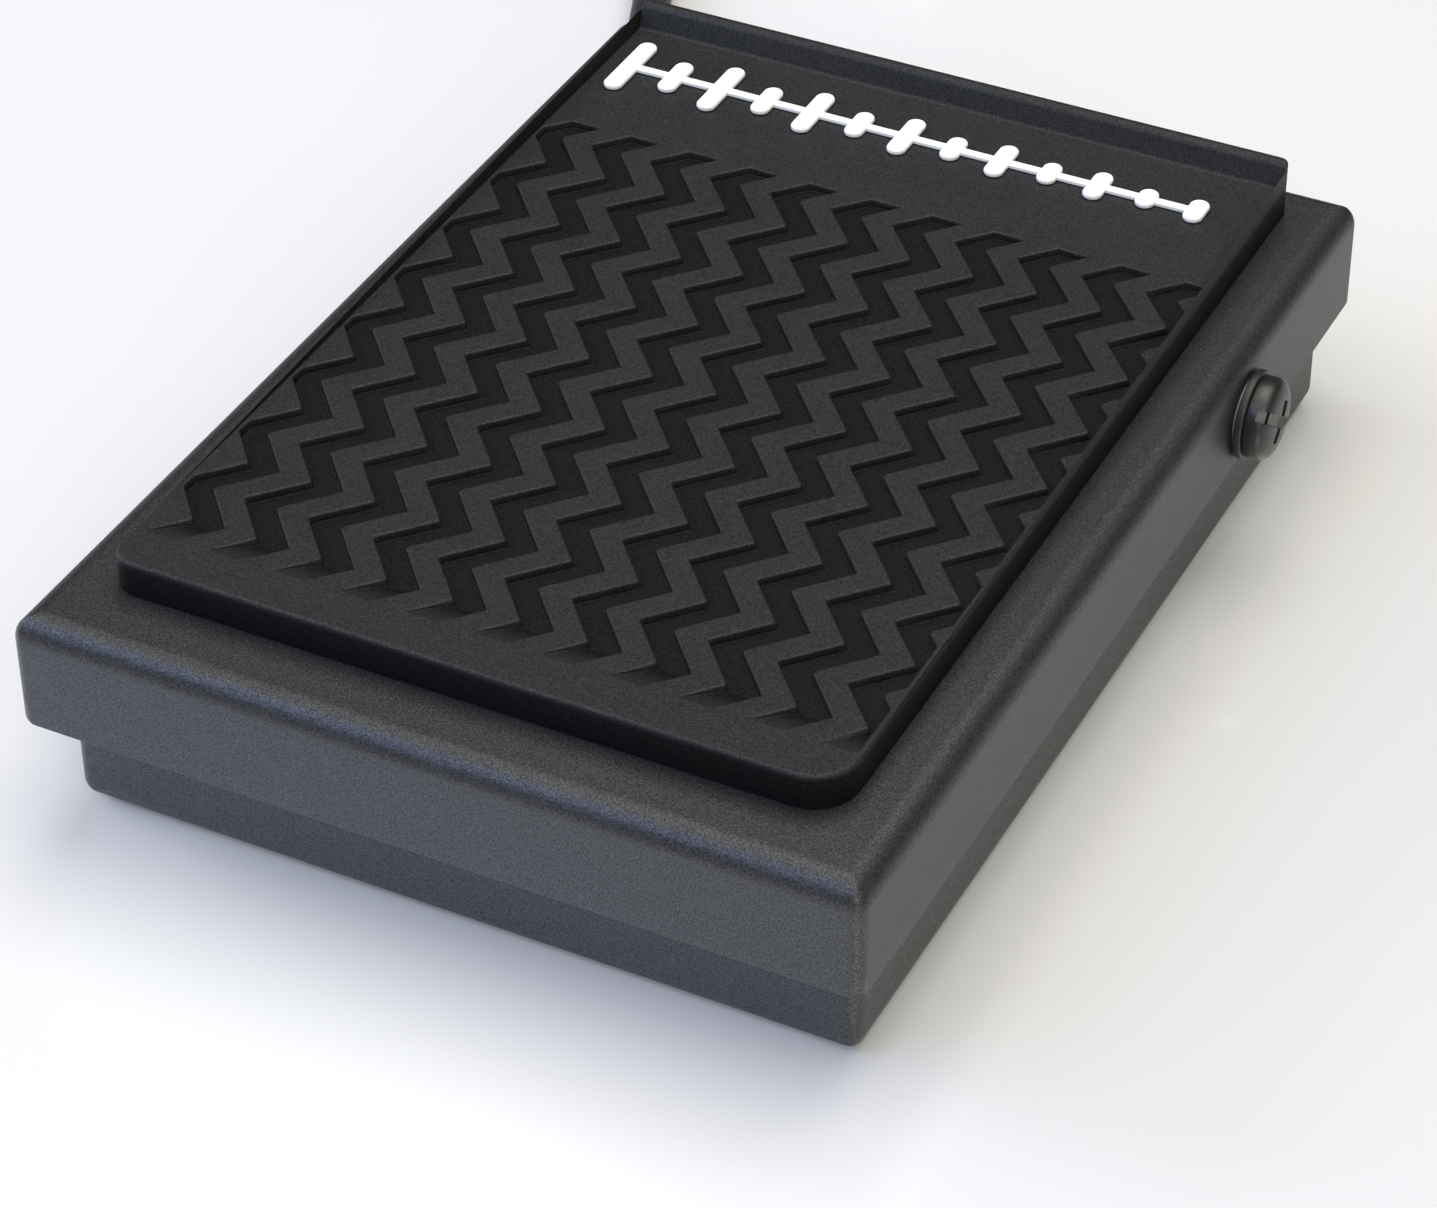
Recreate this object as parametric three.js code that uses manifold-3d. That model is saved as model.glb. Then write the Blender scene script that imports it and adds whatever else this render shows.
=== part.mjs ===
// Sustain pedal for a keyboard: a pressed steel lid that rocks on two side screws over a pressed
// steel tray, with a rubber tread pad on top, a return spring and a snap-action switch inside,
// and a short lead with a 6.35 mm plug.
// Millimetres, +Z up, the front (toe edge) faces -Y, the origin is on the floor under the centre
// of the lid.
import * as THREE from "three";
import { mergeVertices } from "three/addons/utils/BufferGeometryUtils.js";
import Module from "manifold-3d";

// ---------------------------------------------------------------- driving dimensions
const SHEET = 1.2; // steel sheet of lid and tray
const GAP = 0.02; // clearance between touching pieces

const LID_HALF_X = 70 / 2;
const LID_HALF_Y = 97.6 / 2;
const LID_TOP = 19.6; // top face at rest
const LID_UNDER = LID_TOP - SHEET - GAP; // top of the pieces fixed under the lid
const LID_SKIRT_Z = 9.7; // lower edge of the skirts
const LID_BEND = 1.8; // outer bend radius along the top edges
const LID_CORNER = 1.2; // radius of the vertical corners

const TRAY_HALF_X = 66.2 / 2;
const TRAY_FRONT = -45.1; // outer face of the front wall
const TRAY_REAR = 46.65; // outer face of the rear wall
const TRAY_Z = 0.8; // underside of the tray floor
const TRAY_RIM = 12.6; // top of the walls
const TRAY_BEND = 1.5; // outer bend radius at the floor
const TRAY_CORNER = 1.2; // radius of the vertical corners
const EAR_TOP = 17.4; // top of the pivot ears
const EAR_RADIUS = 4.6;
const EAR_FOOT = 7.6; // half width of an ear at the rim
const FLOOR = TRAY_Z + SHEET + 0.05; // underside of the pieces standing in the tray

const PIVOT_Y = 23.7;
const PIVOT_Z = 13.8;
const PRESS_DEG = 3.5; // full travel of the lid

const PAD_HALF_X = 30.1;
const PAD_FRONT = -42.45;
const PAD_REAR = 45.0;
const PAD_TOP = 22.65;
const PAD_FRONT_CORNER = 3.2;
const PAD_REAR_CORNER = 1.4;
const PAD_EDGE = 0.4; // radius of the front top edge and of the ridge's foot
const LIP_TOP = 24.7; // raised ridge along the rear of the pad
const LIP_EDGE = 0.8; // radius of the ridge's top
const LIP_FRONT = 42.84; // foot of the ridge

const RIB_PITCH = 5.595; // zigzag ribs: spacing across X
const RIB_WIDTH = 2.87;
const RIB_PERIOD = 7.939; // zigzag period along Y
const RIB_SWING = 3.54; // zigzag amplitude, peak to peak
const RIB_X0 = -26.74; // right edge of the first rib at its rightmost points
const RIB_Y0 = -35.57; // first rightmost point
const GROOVE_DEPTH = 0.72;
const TREAD_FRONT = -38.5;
const TREAD_REAR = 26.65;
const TREAD_HALF_X = 29.6;

const MOTIF_Y = 36.3; // raised bar motif on the pad's plain rear band
const MOTIF_X0 = -27.4; // first bar
const MOTIF_PITCH = 4.37;
const MOTIF_RISE = 0.5;
const BAR_RADIUS = 0.85; // half width of a bar
const BAR_HALVES = [4.0, 2.4, 3.6, 2.1, 3.2, 1.9, 2.8, 1.7, 2.4, 1.5, 2.0, 1.3, 1.6]; // along Y

const SPRING_Y = -14;
const SPRING_R = 5.2; // mean coil radius
const SPRING_WIRE = 0.6; // wire radius
const SPRING_TURNS = 6;
const SPRING_END_TURNS = 0.75; // part of a turn that lies close to level at each end

const SWITCH_X = 14; // snap-action switch
const SWITCH_HALF_X = 3.2;
const SWITCH_SCREW_YS = [-20.45, -10.95];
const SWITCH_SCREW_Z = 6.0;
const SWITCH_HOLE_R = 1.15;
const BRACKET_SCREWS = [[24, -11], [24, -20]]; // [x, y]
const BRACKET_HOLE_R = 1.7;
const TERMINAL_PITCH = 2.9;
const LEVER_Y = -8; // lever fulcrum
const LEVER_Z = 13.0;
const LEVER_ARM = 14; // fulcrum to contact point
const PLUNGER_ARM = 5.2; // fulcrum to plunger
const CONTACT_Y = LEVER_Y - LEVER_ARM;
const PLUNGER_Y = LEVER_Y - PLUNGER_ARM;
const LEVER_RATIO = (PIVOT_Y - CONTACT_Y) / LEVER_ARM;

const CABLE_X = -14;
const CABLE_Z = 5.2;
const CABLE_R = 1.9;
const CORE_R = 0.55; // thin insulated wires
const POLARITY_X = 14;
const POLARITY_Z = 5.6;
const POLARITY_SCREWS = [-7.2, 7.2]; // X offsets from the switch

const PLUG_Y = 112; // plug axis, lying along X behind the pedal
const PLUG_Z = 6.6;
const PLUG_TIP_X = -30;
const PLUG_LENGTH = 59.5; // tip to the cable end of the boot

const QUARTER = Math.PI / 2;
const SIDES = { right: 0, left: Math.PI }; // turn about Z that points +X to each side

// ---------------------------------------------------------------- finishes
const LID_PAINT = { color: 0x35353a, roughness: 0.55, metalness: 0.2 };
const TRAY_PAINT = { color: 0x303035, roughness: 0.6, metalness: 0.2 };
const RUBBER = { color: 0x17181b, roughness: 0.9, metalness: 0 };
const WHITE = { color: 0xf1f1ee, roughness: 0.7, metalness: 0 };
const BLACK_STEEL = { color: 0x2a2a2c, roughness: 0.4, metalness: 0.8 };
const ZINC = { color: 0xb9bcc0, roughness: 0.35, metalness: 0.9 };
const SPRING_STEEL = { color: 0xa9abad, roughness: 0.3, metalness: 0.95 };
const BLACK_PLASTIC = { color: 0x1b1b1d, roughness: 0.6, metalness: 0 };
const NYLON = { color: 0xe4e0d4, roughness: 0.5, metalness: 0 };
const BRASS = { color: 0xc9a455, roughness: 0.35, metalness: 0.9 };
const NICKEL = { color: 0xcdced0, roughness: 0.2, metalness: 1 };
const RED = { color: 0xa8201c, roughness: 0.5, metalness: 0 };

// ---------------------------------------------------------------- solids
const wasm = await Module();
wasm.setup();

// A geometry as a solid; its vertices are merged so that the surface is closed.
const solid = (shape) => {
  if (!shape.isBufferGeometry) return shape;
  const bare = shape.index ? shape.toNonIndexed() : shape.clone();
  bare.deleteAttribute("normal");
  bare.deleteAttribute("uv");
  const merged = mergeVertices(bare, 1e-4);
  return new wasm.Manifold(
    new wasm.Mesh({
      numProp: 3,
      vertProperties: merged.attributes.position.array,
      triVerts: new Uint32Array(merged.index.array),
    }),
  );
};
const geometryOf = (shape) => {
  if (shape.isBufferGeometry) return shape;
  const { numVert, numProp, vertProperties, triVerts } = shape.getMesh();
  const positions = new Float32Array(numVert * 3);
  for (let i = 0; i < numVert; i++)
    for (let k = 0; k < 3; k++) positions[3 * i + k] = vertProperties[i * numProp + k];
  const geometry = new THREE.BufferGeometry()
    .setAttribute("position", new THREE.BufferAttribute(positions, 3))
    .setIndex(new THREE.BufferAttribute(triVerts, 1));
  geometry.computeVertexNormals();
  return geometry;
};
// These take solids and geometries alike.
const cut = (first, ...rest) => rest.reduce((a, b) => a.subtract(solid(b)), solid(first));
const join = (first, ...rest) => rest.reduce((a, b) => a.add(solid(b)), solid(first));
const common = (first, ...rest) => rest.reduce((a, b) => a.intersect(solid(b)), solid(first));

// ---------------------------------------------------------------- outlines
// Points of an arc, in degrees.
const arc = (centreX, centreY, radius, from, to, steps) =>
  Array.from({ length: steps + 1 }, (_, i) => {
    const angle = ((from + ((to - from) * i) / steps) * Math.PI) / 180;
    return [centreX + radius * Math.cos(angle), centreY + radius * Math.sin(angle)];
  });
// A rectangle; radii are one number, or lower left, lower right, upper right, upper left.
const rounded = (x0, y0, x1, y1, radii, steps = 4) => {
  const [r0, r1, r2, r3] = Array.isArray(radii) ? radii : Array(4).fill(radii);
  const corner = (x, y, r, start) => (r > 0 ? arc(x, y, r, start, start + 90, steps) : [[x, y]]);
  return [
    ...corner(x0 + r0, y0 + r0, r0, 180),
    ...corner(x1 - r1, y0 + r1, r1, 270),
    ...corner(x1 - r2, y1 - r2, r2, 0),
    ...corner(x0 + r3, y1 - r3, r3, 90),
  ];
};
const hexagon = (across) => arc(0, 0, across / Math.sqrt(3), 0, 300, 5);
const outline = (points) => new THREE.Shape(points.map(([x, y]) => new THREE.Vector2(x, y)));

// ---------------------------------------------------------------- basic bodies
const extrude = (points, depth) =>
  new THREE.ExtrudeGeometry(outline(points), { depth, bevelEnabled: false });
const basis = (...axes) =>
  new THREE.Matrix4().makeBasis(...axes.map((axis) => new THREE.Vector3(...axis)));
const AXES_X = basis([0, 1, 0], [0, 0, 1], [1, 0, 0]);
const AXES_Y = basis([1, 0, 0], [0, 0, 1], [0, -1, 0]);
// Prisms: points are (X, Y), (Y, Z) and (X, Z) in turn.
const alongZ = (points, z0, z1) => extrude(points, z1 - z0).translate(0, 0, z0);
const alongX = (points, x0, x1) =>
  extrude(points, x1 - x0).applyMatrix4(AXES_X).translate(x0, 0, 0);
const alongY = (points, y0, y1) =>
  extrude(points, y1 - y0).applyMatrix4(AXES_Y).translate(0, y1, 0);
const block = (x0, x1, y0, y1, z0, z1) =>
  new THREE.BoxGeometry(x1 - x0, y1 - y0, z1 - z0).translate(
    (x0 + x1) / 2,
    (y0 + y1) / 2,
    (z0 + z1) / 2,
  );
// A solid of revolution about +Z from [radius, z] pairs. A profile that starts off the axis is
// closed on itself.
const turned = (pairs, sides) => {
  const profile = pairs[0][0] > 0 ? [...pairs, pairs[0]] : pairs;
  const points = profile.map(([r, z]) => new THREE.Vector2(r, z));
  return new THREE.LatheGeometry(points, sides).rotateX(QUARTER);
};
const rod = (r, z0, z1, sides) => turned([[0, z0], [r, z0], [r, z1], [0, z1]], sides);
const ring = (r0, r1, z0, z1, sides) =>
  turned([[r0, z0], [r1, z0], [r1, z1], [r0, z1]], sides);
// Turn a geometry made about +Z so that it lies along +X.
const toX = (geometry) => geometry.rotateY(QUARTER);
const rodX = (r, x0, x1, y, z, sides) => toX(rod(r, x0, x1, sides)).translate(0, y, z);
const rodY = (r, y0, y1, x, z, sides) =>
  rod(r, y0, y1, sides).rotateX(-QUARTER).translate(x, 0, z);
const nut = (across, bore, thick) =>
  cut(alongZ(hexagon(across), 0, thick), rod(bore, -1, thick + 1, 16));
// Cutters for a cross recess in a head that faces +Z.
const crossRecess = (halfWidth, halfLength, z0, z1) => [
  block(-halfWidth, halfWidth, -halfLength, halfLength, z0, z1),
  block(-halfLength, halfLength, -halfWidth, halfWidth, z0, z1),
];
const sweep = (section, extrudePath, steps) =>
  new THREE.ExtrudeGeometry(outline(section), { steps, extrudePath, bevelEnabled: false });
// A round bar along a smooth line through points.
const wire = (points, r, steps, sides) => {
  const stations = points.map((point) => new THREE.Vector3(...point));
  const path = new THREE.CatmullRomCurve3(stations, false, "centripetal");
  return sweep(arc(0, 0, r, 0, 360 - 360 / sides, sides - 1), path, steps);
};

// ---------------------------------------------------------------- meshes
const mesh = (name, shape, look) => {
  const piece = new THREE.Mesh(geometryOf(shape), new THREE.MeshStandardMaterial(look));
  piece.name = name;
  return piece;
};
const placed = (object, x, y, z) => {
  object.position.set(x, y, z);
  return object;
};
// Turn a mesh made about +Z so that it points along +X or +Y.
const pointX = (object) => {
  object.rotation.y = QUARTER;
  return object;
};
const pointY = (object) => {
  object.rotation.x = -QUARTER;
  return object;
};
const pivotGroup = () => placed(new THREE.Group(), 0, PIVOT_Y, PIVOT_Z);

// ---------------------------------------------------------------- lid
const pivotBore = (r) => rodX(r, -LID_HALF_X - 2, LID_HALF_X + 2, PIVOT_Y, PIVOT_Z, 28);

// Round the four top edges of a body centred on the Z axis.
const roundTop = (body, halfX, halfY, top, radius, steps) => {
  const section = (half) => rounded(-half, -1, half, top, [0, 0, radius, radius], steps);
  return common(
    body,
    alongY(section(halfX), -halfY - 1, halfY + 1),
    alongX(section(halfY), -halfX - 1, halfX + 1),
  );
};

const cover = () => {
  const plan = rounded(-LID_HALF_X, -LID_HALF_Y, LID_HALF_X, LID_HALF_Y, LID_CORNER, 3);
  const outer = alongZ(plan, LID_SKIRT_Z, LID_TOP);
  const innerX = LID_HALF_X - SHEET;
  const innerY = LID_HALF_Y - SHEET;
  const innerTop = LID_TOP - SHEET;
  const inner = block(-innerX, innerX, -innerY, innerY, 0, innerTop);
  const shell = cut(
    roundTop(outer, LID_HALF_X, LID_HALF_Y, LID_TOP, LID_BEND, 4),
    roundTop(inner, innerX, innerY, innerTop, LID_BEND - SHEET, 2),
    pivotBore(3.15),
  );
  return mesh("cover", shell, LID_PAINT);
};

// ---------------------------------------------------------------- rubber pad
const padBody = () => {
  const frontX = PAD_HALF_X - PAD_FRONT_CORNER;
  const frontY = PAD_FRONT + PAD_FRONT_CORNER;
  const rearX = PAD_HALF_X - PAD_REAR_CORNER;
  const rearY = PAD_REAR - PAD_REAR_CORNER;
  const plan = [
    ...arc(-frontX, frontY, PAD_FRONT_CORNER, 180, 270, 5),
    ...arc(frontX, frontY, PAD_FRONT_CORNER, 270, 360, 5),
    ...arc(rearX, rearY, PAD_REAR_CORNER, 0, 90, 3),
    ...arc(-rearX, rearY, PAD_REAR_CORNER, 90, 180, 3),
  ];
  const side = [
    [PAD_FRONT, LID_TOP + GAP],
    [PAD_REAR, LID_TOP + GAP],
    ...arc(PAD_REAR - LIP_EDGE, LIP_TOP - LIP_EDGE, LIP_EDGE, 0, 155, 7),
    ...arc(LIP_FRONT - 0.36, PAD_TOP + PAD_EDGE, PAD_EDGE, 335, 270, 3),
    ...arc(PAD_FRONT + PAD_EDGE, PAD_TOP - PAD_EDGE, PAD_EDGE, 90, 180, 2),
  ];
  return common(
    alongZ(plan, LID_TOP, LIP_TOP + 1),
    alongX(side, -PAD_HALF_X - 1, PAD_HALF_X + 1),
  );
};

// X of a zigzag edge at y, from its rightmost points.
const zigzag = (y) => {
  const phase = ((((y - RIB_Y0) / RIB_PERIOD) % 1) + 1) % 1;
  return -RIB_SWING * (phase < 0.5 ? 2 * phase : 2 - 2 * phase);
};

// Grooves between the ribs, each running from one rib's right edge to the next rib's left edge.
const padGrooves = () => {
  const bendYs = [TREAD_FRONT - 1];
  for (let y = RIB_Y0; y < TREAD_REAR + 1; y += RIB_PERIOD / 2) bendYs.push(y);
  bendYs.push(TREAD_REAR + 1);
  const bottom = PAD_TOP - GROOVE_DEPTH;
  const top = PAD_TOP + 1;
  const tread = solid(
    block(-TREAD_HALF_X, TREAD_HALF_X, TREAD_FRONT, TREAD_REAR, bottom, top),
  );
  const edge = (x) => bendYs.map((y) => [x + zigzag(y), y]);
  const grooves = [];
  for (let k = -1; k <= 10; k++) {
    const left = RIB_X0 + RIB_PITCH * k;
    const right = left + RIB_PITCH - RIB_WIDTH;
    grooves.push(common(alongZ([...edge(right), ...edge(left).reverse()], bottom, top), tread));
  }
  return join(...grooves);
};

const treadPad = () => mesh("tread_pad", cut(padBody(), padGrooves()), RUBBER);

// A row of round-ended bars of uneven, falling height on one thin line.
const padMotif = () => {
  const z0 = PAD_TOP + GAP;
  const z1 = PAD_TOP + MOTIF_RISE;
  const bars = BAR_HALVES.map((half, i) => {
    const x = MOTIF_X0 + MOTIF_PITCH * i;
    const capsule = [
      ...arc(x, MOTIF_Y + half - BAR_RADIUS, BAR_RADIUS, 0, 180, 4),
      ...arc(x, MOTIF_Y - half + BAR_RADIUS, BAR_RADIUS, 180, 360, 4),
    ];
    return alongZ(capsule, z0, z1);
  });
  const lastX = MOTIF_X0 + MOTIF_PITCH * (BAR_HALVES.length - 1);
  const line = block(MOTIF_X0, lastX, MOTIF_Y - 0.4, MOTIF_Y + 0.4, z0, z1);
  return mesh("pad_motif", join(line, ...bars), WHITE);
};

// ---------------------------------------------------------------- pieces fixed under the lid
const actuatorPost = () => {
  const profile = [
    [0, 16.3], [0.9, 16.35], [1.6, 16.7], [1.8, 17.1], [1.8, 17.6], [3.6, 17.6],
    [3.6, LID_UNDER], [0, LID_UNDER],
  ];
  const post = mesh("actuator_post", turned(profile, 16), BLACK_PLASTIC);
  return placed(post, SWITCH_X, CONTACT_Y, 0);
};

const springBoss = () => {
  const profile = [
    [0, 14.6], [3.4, 14.6], [4.0, 15.2], [4.0, 17.2], [7.2, 17.2],
    [7.2, LID_UNDER], [0, LID_UNDER],
  ];
  return placed(mesh("spring_boss", turned(profile, 20), BLACK_PLASTIC), 0, SPRING_Y, 0);
};

// Flanged bushes in the lid's pivot holes: the flange spaces the lid from the tray.
const pivotBushes = () =>
  Object.entries(SIDES).map(([side, turn]) => {
    const profile = [
      [2.1, 33.2], [3.9, 33.2], [3.9, 33.74], [3.0, 33.74], [3.0, 35.2], [2.1, 35.2],
    ];
    const bush = mesh("pivot_bush_" + side, toX(turned(profile, 20)), NYLON);
    bush.rotation.z = turn;
    return pivotGroup().add(bush);
  });

// ---------------------------------------------------------------- polarity switch outline
// A block about the polarity switch's axis; x0 and x1 are offsets from it.
const polarityBlock = (x0, x1, y0, y1, halfZ) =>
  block(POLARITY_X + x0, POLARITY_X + x1, y0, y1, POLARITY_Z - halfZ, POLARITY_Z + halfZ);
// Slider slot and screw holes, through the tray wall and the switch body alike.
const polarityOpenings = () => [
  polarityBlock(-2.4, 2.4, 43, 49, 1.3),
  ...POLARITY_SCREWS.map((dx) => rodY(1.15, 40, 50, POLARITY_X + dx, POLARITY_Z, 14)),
];

// ---------------------------------------------------------------- tray and sole
const bracketHoles = (top) =>
  BRACKET_SCREWS.map(([x, y]) => rod(BRACKET_HOLE_R, 0, top, 16).translate(x, y, 0));

const baseTray = () => {
  const bendZ = TRAY_Z + TRAY_BEND;
  const side = [
    ...arc(TRAY_FRONT + TRAY_BEND, bendZ, TRAY_BEND, 180, 270, 4),
    ...arc(TRAY_REAR - TRAY_BEND, bendZ, TRAY_BEND, 270, 360, 4),
    [TRAY_REAR, TRAY_RIM],
    [PIVOT_Y + EAR_FOOT, TRAY_RIM],
    ...arc(PIVOT_Y, EAR_TOP - EAR_RADIUS, EAR_RADIUS, 38, 142, 8),
    [PIVOT_Y - EAR_FOOT, TRAY_RIM],
    [TRAY_FRONT, TRAY_RIM],
  ];
  const plan = rounded(-TRAY_HALF_X, TRAY_FRONT, TRAY_HALF_X, TRAY_REAR, TRAY_CORNER, 3);
  const lowerBends = [TRAY_BEND, TRAY_BEND, 0, 0];
  const section = rounded(-TRAY_HALF_X, TRAY_Z, TRAY_HALF_X, 20, lowerBends);
  const outer = common(
    alongX(side, -TRAY_HALF_X, TRAY_HALF_X),
    alongZ(plan, 0, 20),
    alongY(section, TRAY_FRONT - 1, TRAY_REAR + 1),
  );
  const innerBend = TRAY_BEND - SHEET;
  const innerSide = rounded(
    TRAY_FRONT + SHEET,
    TRAY_Z + SHEET,
    TRAY_REAR - SHEET,
    20,
    [innerBend, innerBend, 0, 0],
    2,
  );
  const tray = cut(
    outer,
    alongX(innerSide, -TRAY_HALF_X + SHEET, TRAY_HALF_X - SHEET),
    pivotBore(2.05),
    rodY(2.9, 40, 50, CABLE_X, CABLE_Z, 24),
    ...polarityOpenings(),
    ...bracketHoles(4),
  );
  return mesh("base_tray", tray, TRAY_PAINT);
};

const rubberSole = () =>
  mesh("rubber_sole", alongZ(rounded(-30, -42, 30, 43.5, 3), 0, TRAY_Z - GAP), RUBBER);

// ---------------------------------------------------------------- pivot screws, washers and nuts
// Each is made along +X from the lid's centre. The right screw has a domed head with a turned
// cross recess.
const rightPivotScrew = () => {
  const profile = [
    [0, 29.0], [1.6, 29.0], [1.95, 29.4], [1.95, 35.95], [3.45, 35.95], [3.45, 36.9],
    [3.2, 37.5], [2.5, 37.85], [0, 38.0],
  ];
  const recessTurn = -0.63;
  return cut(
    toX(turned(profile, 24)),
    block(36.8, 39, -4.5, 4.5, -0.5, 0.5).rotateX(recessTurn),
    block(36.5, 39, -0.45, 0.45, -1.8, 1.8).rotateX(recessTurn),
  );
};
// The left screw has a low flat head that stands less than 1 mm proud of the lid.
const leftPivotScrew = () => {
  const profile = [
    [0, 28.4], [1.6, 28.4], [1.95, 28.8], [1.95, 35.25], [2.8, 35.25], [2.8, 35.65],
    [2.5, 35.9], [0, 35.9],
  ];
  return cut(toX(turned(profile, 24)), block(35.6, 37, -3.5, 3.5, -0.35, 0.35));
};

// The right washer lies under the head, the left one inside, under the nut.
const pivotFasteners = () =>
  [
    { side: "right", screw: rightPivotScrew(), washerX: [35.25, 35.9], nutX: 29.4 },
    { side: "left", screw: leftPivotScrew(), washerX: [31.35, 31.85], nutX: 28.9 },
  ].map(({ side, screw, washerX, nutX }) => {
    const fastener = pivotGroup();
    fastener.rotation.z = SIDES[side];
    const pivotNut = pointX(mesh("pivot_nut_" + side, nut(7, 2.02, 2.4), ZINC));
    return fastener.add(
      mesh("pivot_screw_" + side, screw, BLACK_STEEL),
      mesh("pivot_washer_" + side, toX(ring(2.1, 3.75, ...washerX, 24)), BLACK_PLASTIC),
      placed(pivotNut, nutX, 0, 0),
    );
  });

// ---------------------------------------------------------------- rubber stops
const bumpers = () => {
  const front = [
    [0, FLOOR], [5, FLOOR], [5, 4], [4.2, 5], [4.0, 13.4], [3.2, 14.1], [0, 14.35],
  ];
  const rear = [
    [0, FLOOR], [4.2, FLOOR], [4.2, 4], [3.4, 5], [3.2, 17.3], [2.6, 17.9], [0, 18.1],
  ];
  return [["left", -1], ["right", 1]].flatMap(([side, sign]) => [
    placed(mesh("front_bumper_" + side, turned(front, 16), RUBBER), 20 * sign, -37, 0),
    placed(mesh("rear_bumper_" + side, turned(rear, 16), RUBBER), 26 * sign, 38.5, 0),
  ]);
};

// ---------------------------------------------------------------- return spring and its seat
const springSeat = () => {
  const profile = [
    [0, FLOOR], [8, FLOOR], [8, 4.6], [7.2, 4.6], [7.2, 3.2], [4.0, 3.2], [4.0, 5.4],
    [3.4, 6.0], [0, 6.0],
  ];
  return placed(mesh("spring_seat", turned(profile, 20), BLACK_PLASTIC), 0, SPRING_Y, 0);
};

// Wire centre line: the end coils lie close to level, the coils between rise evenly.
class Helix extends THREE.Curve {
  getPoint(t, target = new THREE.Vector3()) {
    const bottom = 3.25 + SPRING_WIRE;
    const top = 17.1 - SPRING_WIRE;
    const end = SPRING_END_TURNS / SPRING_TURNS;
    const endRise = 2.2 * SPRING_WIRE * SPRING_END_TURNS;
    const angle = 2 * Math.PI * SPRING_TURNS * t;
    let z = bottom + endRise + ((top - bottom - 2 * endRise) * (t - end)) / (1 - 2 * end);
    if (t < end) z = bottom + (endRise * t) / end;
    else if (t > 1 - end) z = top - (endRise * (1 - t)) / end;
    return target.set(SPRING_R * Math.cos(angle), SPRING_R * Math.sin(angle), z);
  }
}

const returnSpring = () => {
  const coil = sweep(arc(0, 0, SPRING_WIRE, 0, 300, 5), new Helix(), SPRING_TURNS * 12);
  return placed(mesh("return_spring", coil, SPRING_STEEL), 0, SPRING_Y, 0);
};

// ---------------------------------------------------------------- snap-action switch
const switchHoles = (x0, x1) =>
  SWITCH_SCREW_YS.map((y) => rodX(SWITCH_HOLE_R, x0, x1, y, SWITCH_SCREW_Z, 16));

const switchBracket = () => {
  const upright = block(17.3, 18.5, -24.5, -6.5, FLOOR, 12);
  const foot = block(18.4, 28, -24.5, -6.5, FLOOR, 3.2);
  const bracket = cut(join(upright, foot), ...switchHoles(16, 20), ...bracketHoles(5));
  return mesh("switch_bracket", bracket, ZINC);
};

const switchBody = () => {
  // A pocket centred on the switch in X and on y.
  const pocket = (halfX, y, halfY, z0) =>
    block(SWITCH_X - halfX, SWITCH_X + halfX, y - halfY, y + halfY, z0, 13);
  const body = cut(
    block(SWITCH_X - SWITCH_HALF_X, SWITCH_X + SWITCH_HALF_X, -25.6, -5.8, 3.3, 12.4),
    ...switchHoles(9, 19),
    pocket(1.15, PLUNGER_Y, 1.45, 6.5),
    pocket(2.4, LEVER_Y, 1.0, 10.4),
  );
  return mesh("microswitch_body", body, BLACK_PLASTIC);
};

const bracketScrews = () => {
  const profile = [
    [0, 0.85], [1.45, 0.85], [1.45, 3.25], [2.8, 3.25], [2.8, 4.1], [2.3, 4.8], [0, 5.0],
  ];
  return BRACKET_SCREWS.map(([x, y], i) => {
    const screw = cut(turned(profile, 14), ...crossRecess(0.4, 1.7, 4.0, 6));
    return placed(mesh("bracket_screw_" + ["rear", "front"][i], screw, ZINC), x, y, 0);
  });
};

const switchScrews = () => {
  const profile = [
    [0, 9.3], [1.6, 9.4], [1.9, 9.8], [1.9, 10.75], [0.95, 10.75], [0.95, 20.6], [0, 20.6],
  ];
  return SWITCH_SCREW_YS.flatMap((y, i) => {
    const end = ["front", "rear"][i];
    const slotted = cut(turned(profile, 12), block(-0.3, 0.3, -2.5, 2.5, 8, 9.9));
    const screw = pointX(mesh("switch_screw_" + end, slotted, ZINC));
    const screwNut = pointX(mesh("switch_nut_" + end, nut(4, 1.05, 1.5), ZINC));
    return [placed(screw, 0, y, SWITCH_SCREW_Z), placed(screwNut, 18.55, y, SWITCH_SCREW_Z)];
  });
};

const switchTerminals = () =>
  ["common", "closed", "open"].map((contact, i) => {
    const tab = cut(
      block(-1.5, 1.5, 0, 4.6, -0.25, 0.25),
      rod(0.6, -1, 1, 10).translate(0, 3.4, 0),
    );
    const terminal = mesh("switch_terminal_" + contact, tab, BRASS);
    return placed(terminal, SWITCH_X, -5.75, 4.6 + TERMINAL_PITCH * i);
  });

// The lever stands tip up at rest and lies level at full press.
const switchLever = () => {
  // [y, z] from the fulcrum
  const profile = [
    [-15.6, -0.2], [-0.25, -0.2], [-0.25, -1.5], [0.25, -1.5], [0.25, -0.2],
    [0.8, -0.2], [0.8, 0.2], [-15.4, 0.2], [-15.9, 0.05],
  ];
  const fulcrum = placed(new THREE.Group(), SWITCH_X, LEVER_Y, LEVER_Z);
  fulcrum.rotation.x = (-PRESS_DEG * LEVER_RATIO * Math.PI) / 180;
  return fulcrum.add(mesh("switch_lever", alongX(profile, -2, 2), NICKEL));
};

const switchPlunger = () => {
  const side = rounded(PLUNGER_Y - 1.1, 8.0, PLUNGER_Y + 1.1, 13.5, [0, 0, 0.7, 0.7], 3);
  return mesh("switch_plunger", alongX(side, SWITCH_X - 0.8, SWITCH_X + 0.8), RED);
};

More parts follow.
